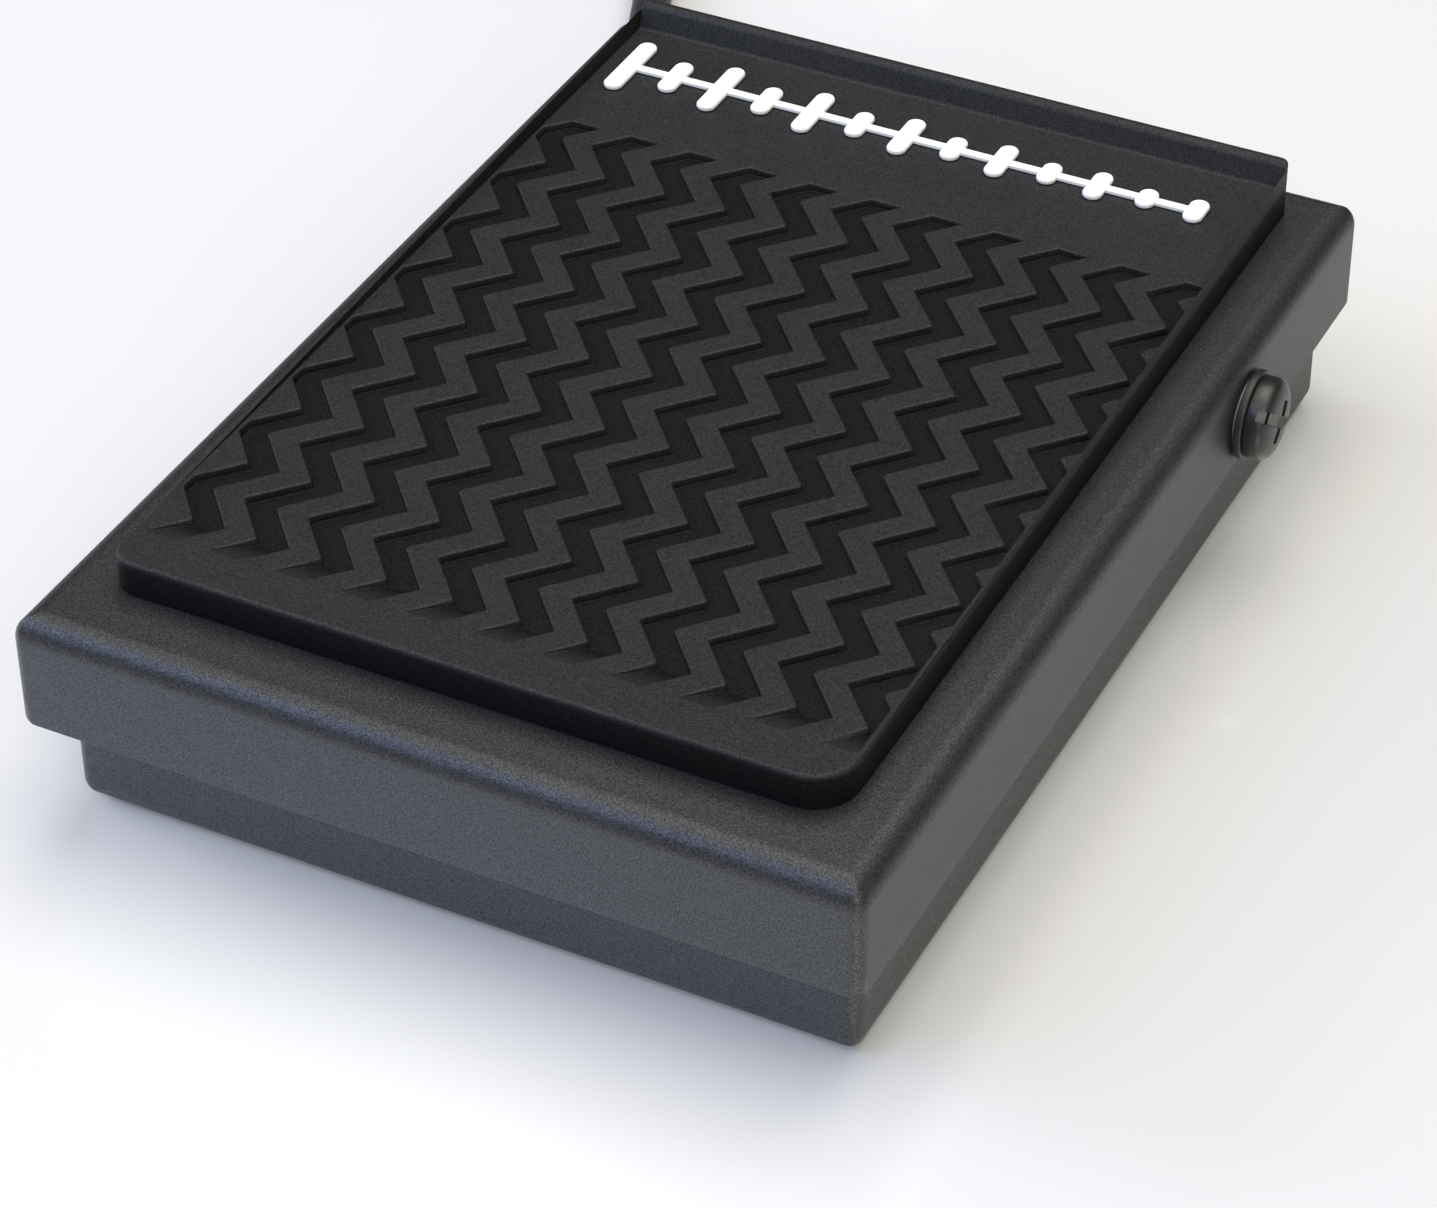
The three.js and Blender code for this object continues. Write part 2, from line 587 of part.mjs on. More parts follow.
// ---------------------------------------------------------------- polarity switch in the rear wall
const polarityBody = () => {
  const flange = polarityBlock(-9.2, 9.2, 44.9, 45.4, 3);
  const housing = polarityBlock(-5, 5, 39.4, 45, 3);
  const cavity = polarityBlock(-3.5, 3.5, 41, 44.4, 2.4);
  const body = cut(join(flange, housing), cavity, ...polarityOpenings());
  return mesh("polarity_switch_body", body, BLACK_PLASTIC);
};

const polaritySlider = () => {
  const knob = polarityBlock(-2, 0, 43, 47.9, 1);
  const carriage = polarityBlock(-3.1, 1.1, 41.4, 44.0, 2);
  return mesh("polarity_slider", join(knob, carriage), BLACK_PLASTIC);
};

const polarityScrews = () => {
  const profile = [
    [0, 43.4], [0.95, 43.4], [0.95, 46.7], [1.9, 46.7], [1.9, 47.3], [1.4, 47.75], [0, 47.85],
  ];
  return POLARITY_SCREWS.map((dx, i) => {
    const shape = cut(turned(profile, 12), ...crossRecess(0.3, 1.2, 47.2, 49));
    const screw = pointY(mesh("polarity_screw_" + ["left", "right"][i], shape, BLACK_STEEL));
    return placed(screw, POLARITY_X + dx, 0, POLARITY_Z);
  });
};

const polarityPins = () =>
  [[-3, -1.6], [-3, 1.6], [3, -1.6], [3, 1.6]].map(([dx, dz], i) => {
    const x = POLARITY_X + dx;
    const z = POLARITY_Z + dz;
    const pin = block(x - 0.5, x + 0.5, 37, 39.35, z - 0.2, z + 0.2);
    return mesh("polarity_pin_" + (i + 1), pin, BRASS);
  });

// ---------------------------------------------------------------- lead
const strainRelief = () => {
  const profile = [
    [2.1, 44.0], [3.1, 44.0], [3.1, 45.4], [2.8, 45.4], [2.8, 46.7], [3.8, 46.7],
    [3.8, 48.0], [3.2, 48.6], [3.1, 50], [2.7, 57.5], [2.1, 57.5],
  ];
  const relief = pointY(mesh("strain_relief", turned(profile, 16), RUBBER));
  return placed(relief, CABLE_X, 0, CABLE_Z);
};

const cableCrimp = () => {
  const crimp = pointY(mesh("cable_crimp", ring(2.0, 2.9, 38.5, 41.5, 20), ZINC));
  return placed(crimp, CABLE_X, 0, CABLE_Z);
};

// Stations [x, y, z] from inside the tray, across the floor and into the plug's boot.
const cable = () => {
  const bootX = PLUG_TIP_X - PLUG_LENGTH;
  const stations = [
    ...[34, 40, 47, 53, 58].map((y) => [CABLE_X, y, CABLE_Z]),
    [-16.2, 62.6, 4.5], [-22, 65.6, 3.3], [-30, 66.6, 2.4], [-37.5, 68.0, 2.0],
    [-44.6, 72.5, 2.0], [-47.7, 78.7, 2.0], [-50.8, 85.0, 2.0], [-59, 92.5, 2.0],
    [-72, 96.5, 2.0], [-84, 98, 2.2], [-93, 100.2, 3.2], [-97.5, 106, 5.0], [-96, 110.8, 6.3],
    ...[-1, 4, 8.6].map((dx) => [bootX + dx, PLUG_Y, PLUG_Z]),
  ];
  return mesh("cable", wire(stations, CABLE_R, 64, 8), RUBBER);
};

// Cable cores run to the polarity switch, leads from there to the snap-action switch.
const innerWires = () => {
  // stations [x, y, z]
  const lines = {
    core_red: [
      [CABLE_X - 0.8, 33.6, 5.6], [-13, 29, 6.2], [-4, 25.5, 6.6], [5, 29, 7.2],
      [11, 35.2, 7.2], [11, 36.7, 7.2],
    ],
    core_black: [
      [CABLE_X + 0.8, 33.6, 4.6], [-11.5, 29.5, 3.6], [-3, 27, 3.2], [5, 30.5, 3.6],
      [11, 35.2, 4.0], [11, 36.7, 4.0],
    ],
    lead_red: [
      [17, 36.7, 7.2], [17.2, 34.5, 7.2], [19.5, 24, 6.2], [18.5, 10, 5.6],
      [15, 3, 7.2], [14, 0.6, 7.5], [14, -0.8, 7.5],
    ],
    lead_black: [
      [17, 36.7, 4.0], [16.9, 34.5, 4.0], [15, 24, 3.2], [13.6, 10, 3.2],
      [13.4, 3, 4.2], [14, 0.6, 4.6], [14, -0.8, 4.6],
    ],
  };
  return Object.entries(lines).map(([name, line]) => {
    const look = name.endsWith("red") ? RED : BLACK_PLASTIC;
    return mesh("wire_" + name, wire(line, CORE_R, 14, 5), look);
  });
};

// ---------------------------------------------------------------- 6.35 mm plug lying along +X
const plug = () => {
  // name, look, sides, profile of [radius, distance from the tip]
  const parts = [
    ["boot", BLACK_PLASTIC, 20, [
      [2.1, -PLUG_LENGTH], [2.7, -PLUG_LENGTH], [3.0, -57], [4.4, -50.6], [2.1, -50.6],
    ]],
    ["barrel", BLACK_PLASTIC, 28, [
      [0, -50.5], [5.4, -50.5], [6.2, -49.6], [6.5, -48], [6.5, -33], [6.1, -31.2],
      [5.2, -30.5], [0, -30.5],
    ]],
    ["sleeve", NICKEL, 24, [[0, -30.45], [3.175, -30.45], [3.175, -10.2], [0, -10.2]]],
    ["insulator", BLACK_PLASTIC, 24, [[0, -10.15], [3.1, -10.15], [3.1, -9.25], [0, -9.25]]],
    ["tip", NICKEL, 24, [
      [0, -9.2], [3.1, -9.2], [3.175, -8.9], [3.175, -7.4], [2.35, -5.9], [2.35, -5.2],
      [3.15, -3.4], [3.0, -2.6], [1.2, -0.5], [0, 0],
    ]],
  ];
  const meshes = parts.map(([name, look, sides, profile]) =>
    mesh("plug_" + name, turned(profile, sides), look),
  );
  return placed(pointX(new THREE.Group()), PLUG_TIP_X, PLUG_Y, PLUG_Z).add(...meshes);
};

// ---------------------------------------------------------------- assembly
const treadle = new THREE.Group().add(
  cover(),
  treadPad(),
  padMotif(),
  actuatorPost(),
  springBoss(),
  ...pivotBushes(),
);
const base = new THREE.Group().add(
  baseTray(),
  rubberSole(),
  ...pivotFasteners(),
  ...bumpers(),
  springSeat(),
  returnSpring(),
  switchBracket(),
  switchBody(),
  ...bracketScrews(),
  ...switchScrews(),
  ...switchTerminals(),
  polarityBody(),
  ...polarityScrews(),
  ...polarityPins(),
  strainRelief(),
  cableCrimp(),
  cable(),
  ...innerWires(),
  plug(),
);
const pedal = new THREE.Group().add(
  treadle,
  base,
  switchLever(),
  switchPlunger(),
  polaritySlider(),
);

export default pedal;
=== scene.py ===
# Sustain pedal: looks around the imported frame. Lengths below are in millimetres and become metres in build().
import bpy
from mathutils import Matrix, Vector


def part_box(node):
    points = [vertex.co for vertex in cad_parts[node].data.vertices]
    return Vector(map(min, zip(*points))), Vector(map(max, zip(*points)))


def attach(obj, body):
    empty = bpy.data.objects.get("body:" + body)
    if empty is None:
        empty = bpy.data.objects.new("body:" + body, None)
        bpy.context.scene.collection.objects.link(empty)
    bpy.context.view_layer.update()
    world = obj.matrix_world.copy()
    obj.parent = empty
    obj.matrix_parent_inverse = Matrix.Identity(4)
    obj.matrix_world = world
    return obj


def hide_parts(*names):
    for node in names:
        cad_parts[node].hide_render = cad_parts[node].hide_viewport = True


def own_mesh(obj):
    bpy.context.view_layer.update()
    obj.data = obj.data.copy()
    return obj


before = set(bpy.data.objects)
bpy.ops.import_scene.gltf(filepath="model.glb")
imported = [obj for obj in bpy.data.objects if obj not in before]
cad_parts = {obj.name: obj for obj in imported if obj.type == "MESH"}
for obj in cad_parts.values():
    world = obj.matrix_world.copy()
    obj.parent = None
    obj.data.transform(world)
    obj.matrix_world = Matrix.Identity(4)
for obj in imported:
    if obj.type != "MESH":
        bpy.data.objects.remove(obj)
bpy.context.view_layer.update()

import math
import bpy
import bmesh
from mathutils import Matrix, Vector
from mathutils.geometry import delaunay_2d_cdt

MM = 0.001
scene = bpy.context.scene


def mm_box(node):
    lo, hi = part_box(node)
    return [v / MM for v in lo], [v / MM for v in hi]


# ------------------------------------------------------------------ sizes, read from the frame
LID_LO, LID_HI = mm_box("cover")
PAD_LO, PAD_HI = mm_box("tread_pad")
TRAY_LO, TRAY_HI = mm_box("base_tray")
HW, HD = LID_HI[0], LID_HI[1]
LID_TOP, SKIRT_Z = LID_HI[2], LID_LO[2]
SHEET = 1.2
PIVOT_Y, PIVOT_Z = 23.7, 13.8

# ------------------------------------------------------------------ plane geometry helpers


def arc(cx, cy, r, a0, a1, n):
    return [
        (cx + r * math.cos(math.radians(a0 + (a1 - a0) * i / n)), cy + r * math.sin(math.radians(a0 + (a1 - a0) * i / n)))
        for i in range(n + 1)
    ]


def rounded_rect(x0, y0, x1, y1, r, n=8):
    a, b, c, d = r if isinstance(r, (list, tuple)) else (r, r, r, r)
    out = []
    for cx, cy, q, s in ((x0 + a, y0 + a, a, 180), (x1 - b, y0 + b, b, 270), (x1 - c, y1 - c, c, 0), (x0 + d, y1 - d, d, 90)):
        out += arc(cx, cy, q, s, s + 90, n) if q > 1e-6 else [(cx, cy)]
    return out


def round_path(points, radius, n=4, closed=True, skip=()):
    """Points with each corner turned into an arc. Returns the points and their outward normals (closed, anticlockwise)."""
    out, normals = [], []
    m = len(points)
    for i, p in enumerate(points):
        p = Vector(p)
        r = radius[i] if isinstance(radius, (list, tuple)) else radius
        if not closed and i in (0, m - 1):
            q = Vector(points[1]) - p if i == 0 else p - Vector(points[m - 2])
            q.normalize()
            out.append(tuple(p))
            normals.append(Vector((q.y, -q.x)))
            continue
        a, b = Vector(points[(i - 1) % m]), Vector(points[(i + 1) % m])
        d0, d1 = p - a, b - p
        l0, l1 = d0.length, d1.length
        d0.normalize()
        d1.normalize()
        turn = math.atan2(d0.x * d1.y - d0.y * d1.x, d0.dot(d1))
        if r <= 1e-6 or abs(turn) < 1e-4:
            nn = Vector((d0.y + d1.y, -d0.x - d1.x)).normalized()
            out.append(tuple(p))
            normals.append(nn)
            continue
        t = r * math.tan(abs(turn) / 2)
        t = min(t, 0.48 * l0, 0.48 * l1)
        rr = t / math.tan(abs(turn) / 2)
        side = 1 if turn > 0 else -1
        left = Vector((-d0.y, d0.x)) * side
        start = p - d0 * t
        centre = start + left * rr
        base = math.atan2(start.y - centre.y, start.x - centre.x)
        for k in range(n + 1):
            ang = base + turn * k / n
            v = Vector((math.cos(ang), math.sin(ang)))
            out.append(tuple(centre + v * rr))
            normals.append(v * side)
    return out, normals


def profile(points, radius=0.0, n=3):
    """A turned piece's [radius, height] line with rounded corners. It starts and ends on the axis, or closes on itself."""
    if points[0][0] < 1e-9:
        return round_path(points, radius, n, closed=False)[0]
    return round_path(points, radius, n, closed=True)[0]


# ------------------------------------------------------------------ mesh helpers


def build(name, bm, body, replaces, material, sharp=38.0, weighted=True):
    """Turns a bmesh in millimetres into a piece that rides on a CAD body and stands for CAD nodes."""
    bmesh.ops.remove_doubles(bm, verts=bm.verts, dist=1e-5)
    bmesh.ops.recalc_face_normals(bm, faces=bm.faces)
    for e in bm.edges:
        e.smooth = len(e.link_faces) == 2 and e.calc_face_angle(0.0) < math.radians(sharp)
    for f in bm.faces:
        f.smooth = True
    bmesh.ops.scale(bm, vec=(MM, MM, MM), verts=bm.verts)
    mesh = bpy.data.meshes.new(name)
    bm.to_mesh(mesh)
    bm.free()
    obj = bpy.data.objects.new(name, mesh)
    scene.collection.objects.link(obj)
    mesh.materials.append(material)
    if weighted:
        w = obj.modifiers.new("weighted", "WEIGHTED_NORMAL")
        w.keep_sharp = True
        w.weight = 100
    if replaces:
        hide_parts(*replaces)
    if body:
        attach(obj, body)
    return obj


def loft(rings, cap_start=True, cap_end=True, bm=None):
    """Quads between rings of equal length, with flat caps."""
    bm = bm or bmesh.new()
    rows = [[bm.verts.new(p) for p in ring] for ring in rings]
    n = len(rings[0])
    for a, b in zip(rows, rows[1:]):
        for i in range(n):
            j = (i + 1) % n
            bm.faces.new((a[i], a[j], b[j], b[i]))
    if cap_start:
        bm.faces.new(list(reversed(rows[0])))
    if cap_end:
        bm.faces.new(rows[-1])
    return bm


def prism(points, z0, z1, to=None, bevel=0.0, segments=3):
    """A plane outline made solid between two heights, with rounded edges at both ends. to maps (x, y, z) to its place."""
    to = to or (lambda x, y, z: (x, y, z))
    _, normals = round_path(points, 0.0)
    area = sum(a[0] * b[1] - b[0] * a[1] for a, b in zip(points, points[1:] + points[:1]))
    s = 1 if area > 0 else -1
    rings = []

    def ring(inset, z):
        rings.append([to(p[0] - s * n.x * inset, p[1] - s * n.y * inset, z) for p, n in zip(points, normals)])

    if bevel > 0:
        for k in range(segments + 1):
            a = math.pi / 2 * k / segments
            ring(bevel * (1 - math.sin(a)), z0 + bevel * (1 - math.cos(a)))
        for k in range(segments + 1):
            a = math.pi / 2 * k / segments
            ring(bevel * (1 - math.cos(a)), z1 - bevel * (1 - math.sin(a)))
    else:
        ring(0, z0)
        ring(0, z1)
    return loft(rings)


def lathe(pairs, segments=72, to=None, wave=None):
    """A solid of revolution about local +Z. wave(angle, radius, z) may change the radius."""
    to = to or (lambda x, y, z: (x, y, z))
    bm = bmesh.new()
    closed = pairs[0][0] > 1e-9
    rows = []
    for r, z in pairs:
        if r < 1e-9:
            rows.append([bm.verts.new(to(0, 0, z))])
        else:
            row = []
            for i in range(segments):
                a = 2 * math.pi * i / segments
                q = wave(a, r, z) if wave else r
                row.append(bm.verts.new(to(q * math.cos(a), q * math.sin(a), z)))
            rows.append(row)
    if closed:
        rows.append(rows[0])
    for a, b in zip(rows, rows[1:]):
        if len(a) == 1 and len(b) == 1:
            continue
        for i in range(segments):
            j = (i + 1) % segments
            if len(a) == 1:
                bm.faces.new((a[0], b[j], b[i]))
            elif len(b) == 1:
                bm.faces.new((a[i], a[j], b[0]))
            else:
                bm.faces.new((a[i], a[j], b[j], b[i]))
    return bm


def about_x(cy, cz, sign=1, cx=0.0):
    """Local z to +X or -X."""
    return lambda x, y, z: (cx + sign * z, cy + sign * y, cz + x) if sign > 0 else (cx - z, cy - y, cz + x)


def about_y(cx, cz):
    return lambda x, y, z: (cx + x, z, cz + y)


def at(cx, cy, cz=0.0):
    return lambda x, y, z: (cx + x, cy + y, cz + z)


def box_bm(x0, x1, y0, y1, z0, z1, bevel=0.1, segments=2):
    bm = bmesh.new()
    bmesh.ops.create_cube(bm, size=1.0)
    for v in bm.verts:
        v.co = Vector((x0 + (v.co.x + 0.5) * (x1 - x0), y0 + (v.co.y + 0.5) * (y1 - y0), z0 + (v.co.z + 0.5) * (z1 - z0)))
    if bevel > 0:
        bmesh.ops.bevel(bm, geom=list(bm.edges), offset=bevel, segments=segments, profile=0.5, affect="EDGES")
    return bm


def catmull(points, steps):
    """Points along the centripetal Catmull-Rom line through the given points."""
    P = [Vector(p) for p in points]
    P = [P[0] * 2 - P[1]] + P + [P[-1] * 2 - P[-2]]
    spans = len(P) - 3
    out = []
    for s in range(steps + 1):
        u = s / steps * spans
        i = min(int(u), spans - 1)
        w = u - i
        p0, p1, p2, p3 = P[i : i + 4]
        d0 = max((p1 - p0).length, 1e-4) ** 0.5
        d1 = max((p2 - p1).length, 1e-4) ** 0.5
        d2 = max((p3 - p2).length, 1e-4) ** 0.5
        m1 = ((p1 - p0) / d0 - (p2 - p0) / (d0 + d1) + (p2 - p1) / d1) * d1
        m2 = ((p2 - p1) / d1 - (p3 - p1) / (d1 + d2) + (p3 - p2) / d2) * d1
        w2, w3 = w * w, w * w * w
        out.append(p1 * (2 * w3 - 3 * w2 + 1) + m1 * (w3 - 2 * w2 + w) + p2 * (-2 * w3 + 3 * w2) + m2 * (w3 - w2))
    return out


def tube(line, r, sides=16, round_ends=0.15):
    """A round bar along a line, with its ends closed and slightly rounded."""
    bm = bmesh.new()
    t0 = (line[1] - line[0]).normalized()
    side = t0.orthogonal().normalized()
    rings = []
    n = len(line)
    prev = t0
    for i, p in enumerate(line):
        t = (line[min(i + 1, n - 1)] - line[max(i - 1, 0)]).normalized()
        q = prev.rotation_difference(t)
        side = q @ side
        side = (side - t * side.dot(t)).normalized()
        up = t.cross(side)
        prev = t

        def ring(radius, offset):
            rings.append([p + t * offset + (side * math.cos(2 * math.pi * k / sides) + up * math.sin(2 * math.pi * k / sides)) * radius for k in range(sides)])

        if i == 0:
            ring(r - round_ends, 0)
            ring(r - round_ends * 0.3, round_ends * 0.3)
            ring(r, round_ends)
        elif i == n - 1:
            ring(r, -round_ends)
            ring(r - round_ends * 0.3, -round_ends * 0.3)
            ring(r - round_ends, 0)
        else:
            ring(r, 0)
    return loft([[tuple(v) for v in ring] for ring in rings], bm=bm)


def boolean(obj, cutters, operation="DIFFERENCE"):
    """Cuts obj's mesh by the cutters, which are then removed. obj's mesh is already in metres."""
    for c in cutters:
        m = obj.modifiers.new("cut", "BOOLEAN")
        m.operation = operation
        m.solver = "EXACT"
        m.object = c
    dg = bpy.context.evaluated_depsgraph_get()
    keep = [m for m in obj.modifiers if m.type == "BOOLEAN"]
    others = [m for m in obj.modifiers if m.type != "BOOLEAN"]
    for m in others:
        m.show_viewport = False
    dg.update()
    new = bpy.data.meshes.new_from_object(obj.evaluated_get(dg))
    for m in keep:
        obj.modifiers.remove(m)
    for m in others:
        m.show_viewport = True
    old = obj.data
    obj.data = new
    bpy.data.meshes.remove(old)
    for c in cutters:
        data = c.data
        bpy.data.objects.remove(c)
        bpy.data.meshes.remove(data)


def cutter(bm):
    bmesh.ops.recalc_face_normals(bm, faces=bm.faces)
    bmesh.ops.scale(bm, vec=(MM, MM, MM), verts=bm.verts)
    mesh = bpy.data.meshes.new("cutter")
    bm.to_mesh(mesh)
    bm.free()
    o = bpy.data.objects.new("cutter", mesh)
    scene.collection.objects.link(o)
    return o


def resharpen(obj, sharp=38.0):
    bm = bmesh.new()
    bm.from_mesh(obj.data)
    bmesh.ops.remove_doubles(bm, verts=bm.verts, dist=1e-8)
    for e in bm.edges:
        e.smooth = len(e.link_faces) == 2 and e.calc_face_angle(0.0) < math.radians(sharp)
    for f in bm.faces:
        f.smooth = True
    bm.to_mesh(obj.data)
    bm.free()


# ------------------------------------------------------------------ materials


class Nodes:
    def __init__(self, name):
        self.mat = bpy.data.materials.new(name)
        self.mat.use_nodes = True
        self.t = self.mat.node_tree
        self.t.nodes.clear()
        self.out = self.t.nodes.new("ShaderNodeOutputMaterial")
        self.p = self.t.nodes.new("ShaderNodeBsdfPrincipled")
        self.t.links.new(self.p.outputs[0], self.out.inputs[0])
        self.c = self.t.nodes.new("ShaderNodeTexCoord").outputs["Object"]

    def link(self, a, b):
        self.t.links.new(a, b)

    def set(self, **values):
        names = {"color": "Base Color", "rough": "Roughness", "metal": "Metallic", "spec": "Specular IOR Level", "coat": "Coat Weight",
                 "coat_rough": "Coat Roughness", "sheen": "Sheen Weight", "sheen_rough": "Sheen Roughness", "sheen_tint": "Sheen Tint", "aniso": "Anisotropic", "ior": "IOR",
                 "sss": "Subsurface Weight"}
        for k, v in values.items():
            if isinstance(v, (tuple, list)) and len(v) == 3:
                v = (*v, 1.0)
            if isinstance(v, bpy.types.NodeSocket):
                self.link(v, self.p.inputs[names[k]])
            else:
                self.p.inputs[names[k]].default_value = v

    def noise(self, scale, detail=2.0, rough=0.5, vector=None, distortion=0.0):
        n = self.t.nodes.new("ShaderNodeTexNoise")
        n.inputs["Scale"].default_value = scale
        n.inputs["Detail"].default_value = detail
        n.inputs["Roughness"].default_value = rough
        n.inputs["Distortion"].default_value = distortion
        self.link(vector or self.c, n.inputs["Vector"])
        return n.outputs["Fac"]

    def voronoi(self, scale, feature="F1", vector=None, out="Distance"):
        n = self.t.nodes.new("ShaderNodeTexVoronoi")
        n.feature = feature
        n.inputs["Scale"].default_value = scale
        self.link(vector or self.c, n.inputs["Vector"])
        return n.outputs[out]

    def scaled(self, x, y, z):
        n = self.t.nodes.new("ShaderNodeMapping")
        n.inputs["Scale"].default_value = (x, y, z)
        self.link(self.c, n.inputs["Vector"])
        return n.outputs[0]

    def ramp(self, value, stops):
        n = self.t.nodes.new("ShaderNodeValToRGB")
        e = n.color_ramp.elements
        while len(e) > len(stops):
            e.remove(e[-1])
        while len(e) < len(stops):
            e.new(0.5)
        for i, (pos, col) in enumerate(stops):
            e[i].position = pos
            e[i].color = (*col, 1.0) if len(col) == 3 else col
        self.link(value, n.inputs[0])
        return n.outputs[0]

    def mapped(self, value, a, b, c, d):
        n = self.t.nodes.new("ShaderNodeMapRange")
        for k, v in zip(("From Min", "From Max", "To Min", "To Max"), (a, b, c, d)):
            n.inputs[k].default_value = v
        self.link(value, n.inputs["Value"])
        return n.outputs[0]

    def mix(self, fac, a, b):
        n = self.t.nodes.new("ShaderNodeMix")
        n.data_type = "RGBA"
        for socket, v in ((n.inputs[0], fac), (n.inputs[6], a), (n.inputs[7], b)):
            if isinstance(v, bpy.types.NodeSocket):
                self.link(v, socket)
            else:
                socket.default_value = (*v, 1.0) if isinstance(v, (tuple, list)) else v
        return n.outputs[2]

    def math(self, op, a, b=None):
        n = self.t.nodes.new("ShaderNodeMath")
        n.operation = op
        for socket, v in zip(n.inputs, (a, b)):
            if v is None:
                continue
            if isinstance(v, bpy.types.NodeSocket):
                self.link(v, socket)
            else:
                socket.default_value = v
        return n.outputs[0]

    def bump(self, height, strength, distance, previous=None):
        n = self.t.nodes.new("ShaderNodeBump")
        n.inputs["Strength"].default_value = strength
        n.inputs["Distance"].default_value = distance
        self.link(height, n.inputs["Height"])
        if previous is not None:
            self.link(previous, n.inputs["Normal"])
        return n.outputs[0]

    def normal(self, socket):
        self.link(socket, self.p.inputs["Normal"])

    def separate(self, vector=None):
        n = self.t.nodes.new("ShaderNodeSeparateXYZ")
        self.link(vector or self.c, n.inputs[0])
        return n.outputs

    def facing(self):
        n = self.t.nodes.new("ShaderNodeNewGeometry")
        return n.outputs["Normal"]


def powder_coat(name, dark, light, rough=0.46, grain=1.0, spec=0.5):
    """Satin powder coat: fine orange-peel relief whose grains glint or stay dull, with the glinting specks lightened in
    colour as painted glints and the pits darkened as painted shade, and a slow change of tone.
    """
    m = Nodes(name)
    slow = m.noise(60, 3, 0.5)
    fine = m.noise(5200, 3, 0.65)
    speck = m.noise(8200, 2, 0.7)
    tone = m.mix(m.mapped(slow, 0.3, 0.7, 0.0, 1.0), dark, light)
    # bright specks: painted glints lightened into the coat's colour, besides their higher specular
    glint_specks = m.ramp(speck, [(0.0, (0, 0, 0)), (0.52, (0, 0, 0)), (0.72, (1, 1, 1))])
    tone = m.mix(m.math("MULTIPLY", glint_specks, 0.55 * grain), tone, tuple(min(1, 3.4 * v) for v in light))
    # darker pits: painted shade in the orange-peel hollows
    pit_shade = m.ramp(fine, [(0.0, (1, 1, 1)), (0.36, (1, 1, 1)), (0.46, (0, 0, 0))])
    tone = m.mix(m.math("MULTIPLY", pit_shade, 0.30 * grain), tone, tuple(0.45 * v for v in dark))
    m.set(color=tone, rough=m.mapped(fine, 0.3, 0.7, rough - 0.06, rough + 0.12), spec=m.mapped(speck, 0.32, 0.68, 0.35 * spec, 1.65 * spec))
    peel = m.noise(1500, 2, 0.5)
    m.normal(m.bump(fine, 0.55 * grain, 0.00005, m.bump(peel, 0.25, 0.00005)))
    return m.mat


def rubber(name, dark, light, rough=0.62, grain=1.0, spec=0.35, shaded_hollow_heights=None):
    """Moulded rubber: fine matte grain whose specks are lightened in colour as a painted sparkle, slow change of sheen.
    The two heights in metres, if given, bound the change from a smooth hollow, darkened partly as painted shade and
    partly for its smoother moulded finish, to a grained top."""
    m = Nodes(name)
    slow = m.noise(85, 4, 0.55)
    grains = m.noise(7000, 2, 0.7)
    tone = m.mix(m.mapped(slow, 0.3, 0.7, 0.0, 1.0), dark, light)
    # light grain specks: painted sparkle lightened into the colour
    tone = m.mix(m.math("MULTIPLY", m.mapped(grains, 0.35, 0.7, 0.0, 1.0), 0.5 * grain), tone, tuple(1.7 * v for v in light))
    gloss = m.mapped(grains, 0.32, 0.68, 0.45 * spec, 1.55 * spec)
    matte = m.mapped(slow, 0.3, 0.7, rough - 0.04, rough + 0.06)
    if shaded_hollow_heights:
        # below the upper height the colour darkens: painted shade in the groove hollows, partly their smoother moulded
        # finish
        top = m.mapped(m.separate()[2], shaded_hollow_heights[0], shaded_hollow_heights[1], 0.0, 1.0)
        tone = m.mix(top, tuple(0.55 * v for v in dark), tone)
        gloss = m.math("MULTIPLY", gloss, m.mapped(top, 0.0, 1.0, 0.42, 1.0))
    m.set(color=tone, rough=matte, spec=gloss)
    m.normal(m.bump(grains, 0.6 * grain, 0.00004, m.bump(m.noise(1600, 3, 0.5), 0.15, 0.00006)))
    return m.mat


def plastic(name, color, rough=0.4, grain=0.5):
    m = Nodes(name)
    n = m.noise(2600, 3, 0.55)
    tone = m.mix(m.mapped(m.noise(140, 2), 0.3, 0.7, 0.0, 1.0), tuple(0.85 * v for v in color), tuple(min(1, 1.15 * v) for v in color))
    m.set(color=tone, rough=m.mapped(n, 0.3, 0.7, rough - 0.05, rough + 0.08), spec=0.5)
    m.normal(m.bump(n, 0.2 * grain, 0.00004))
    return m.mat


def metal(name, color, rough=0.3, brush=(1, 1, 1), streak=0.5, dark=0.0):
    """Plated or drawn metal with fine streaks along one direction and slight tarnish."""
    m = Nodes(name)
    lines = m.noise(1.0, 4, 0.6, vector=m.scaled(*(2600 * b for b in brush)))
    stain = m.noise(220, 3, 0.6)
    tone = m.mix(m.mapped(stain, 0.35, 0.75, 0.0, 1.0), color, tuple(0.72 * v for v in color))
    m.set(color=tone, metal=1.0 - dark, rough=m.mapped(lines, 0.25, 0.75, rough - 0.07, rough + 0.12))
    m.normal(m.bump(lines, 0.12 * streak, 0.00003))
    return m.mat


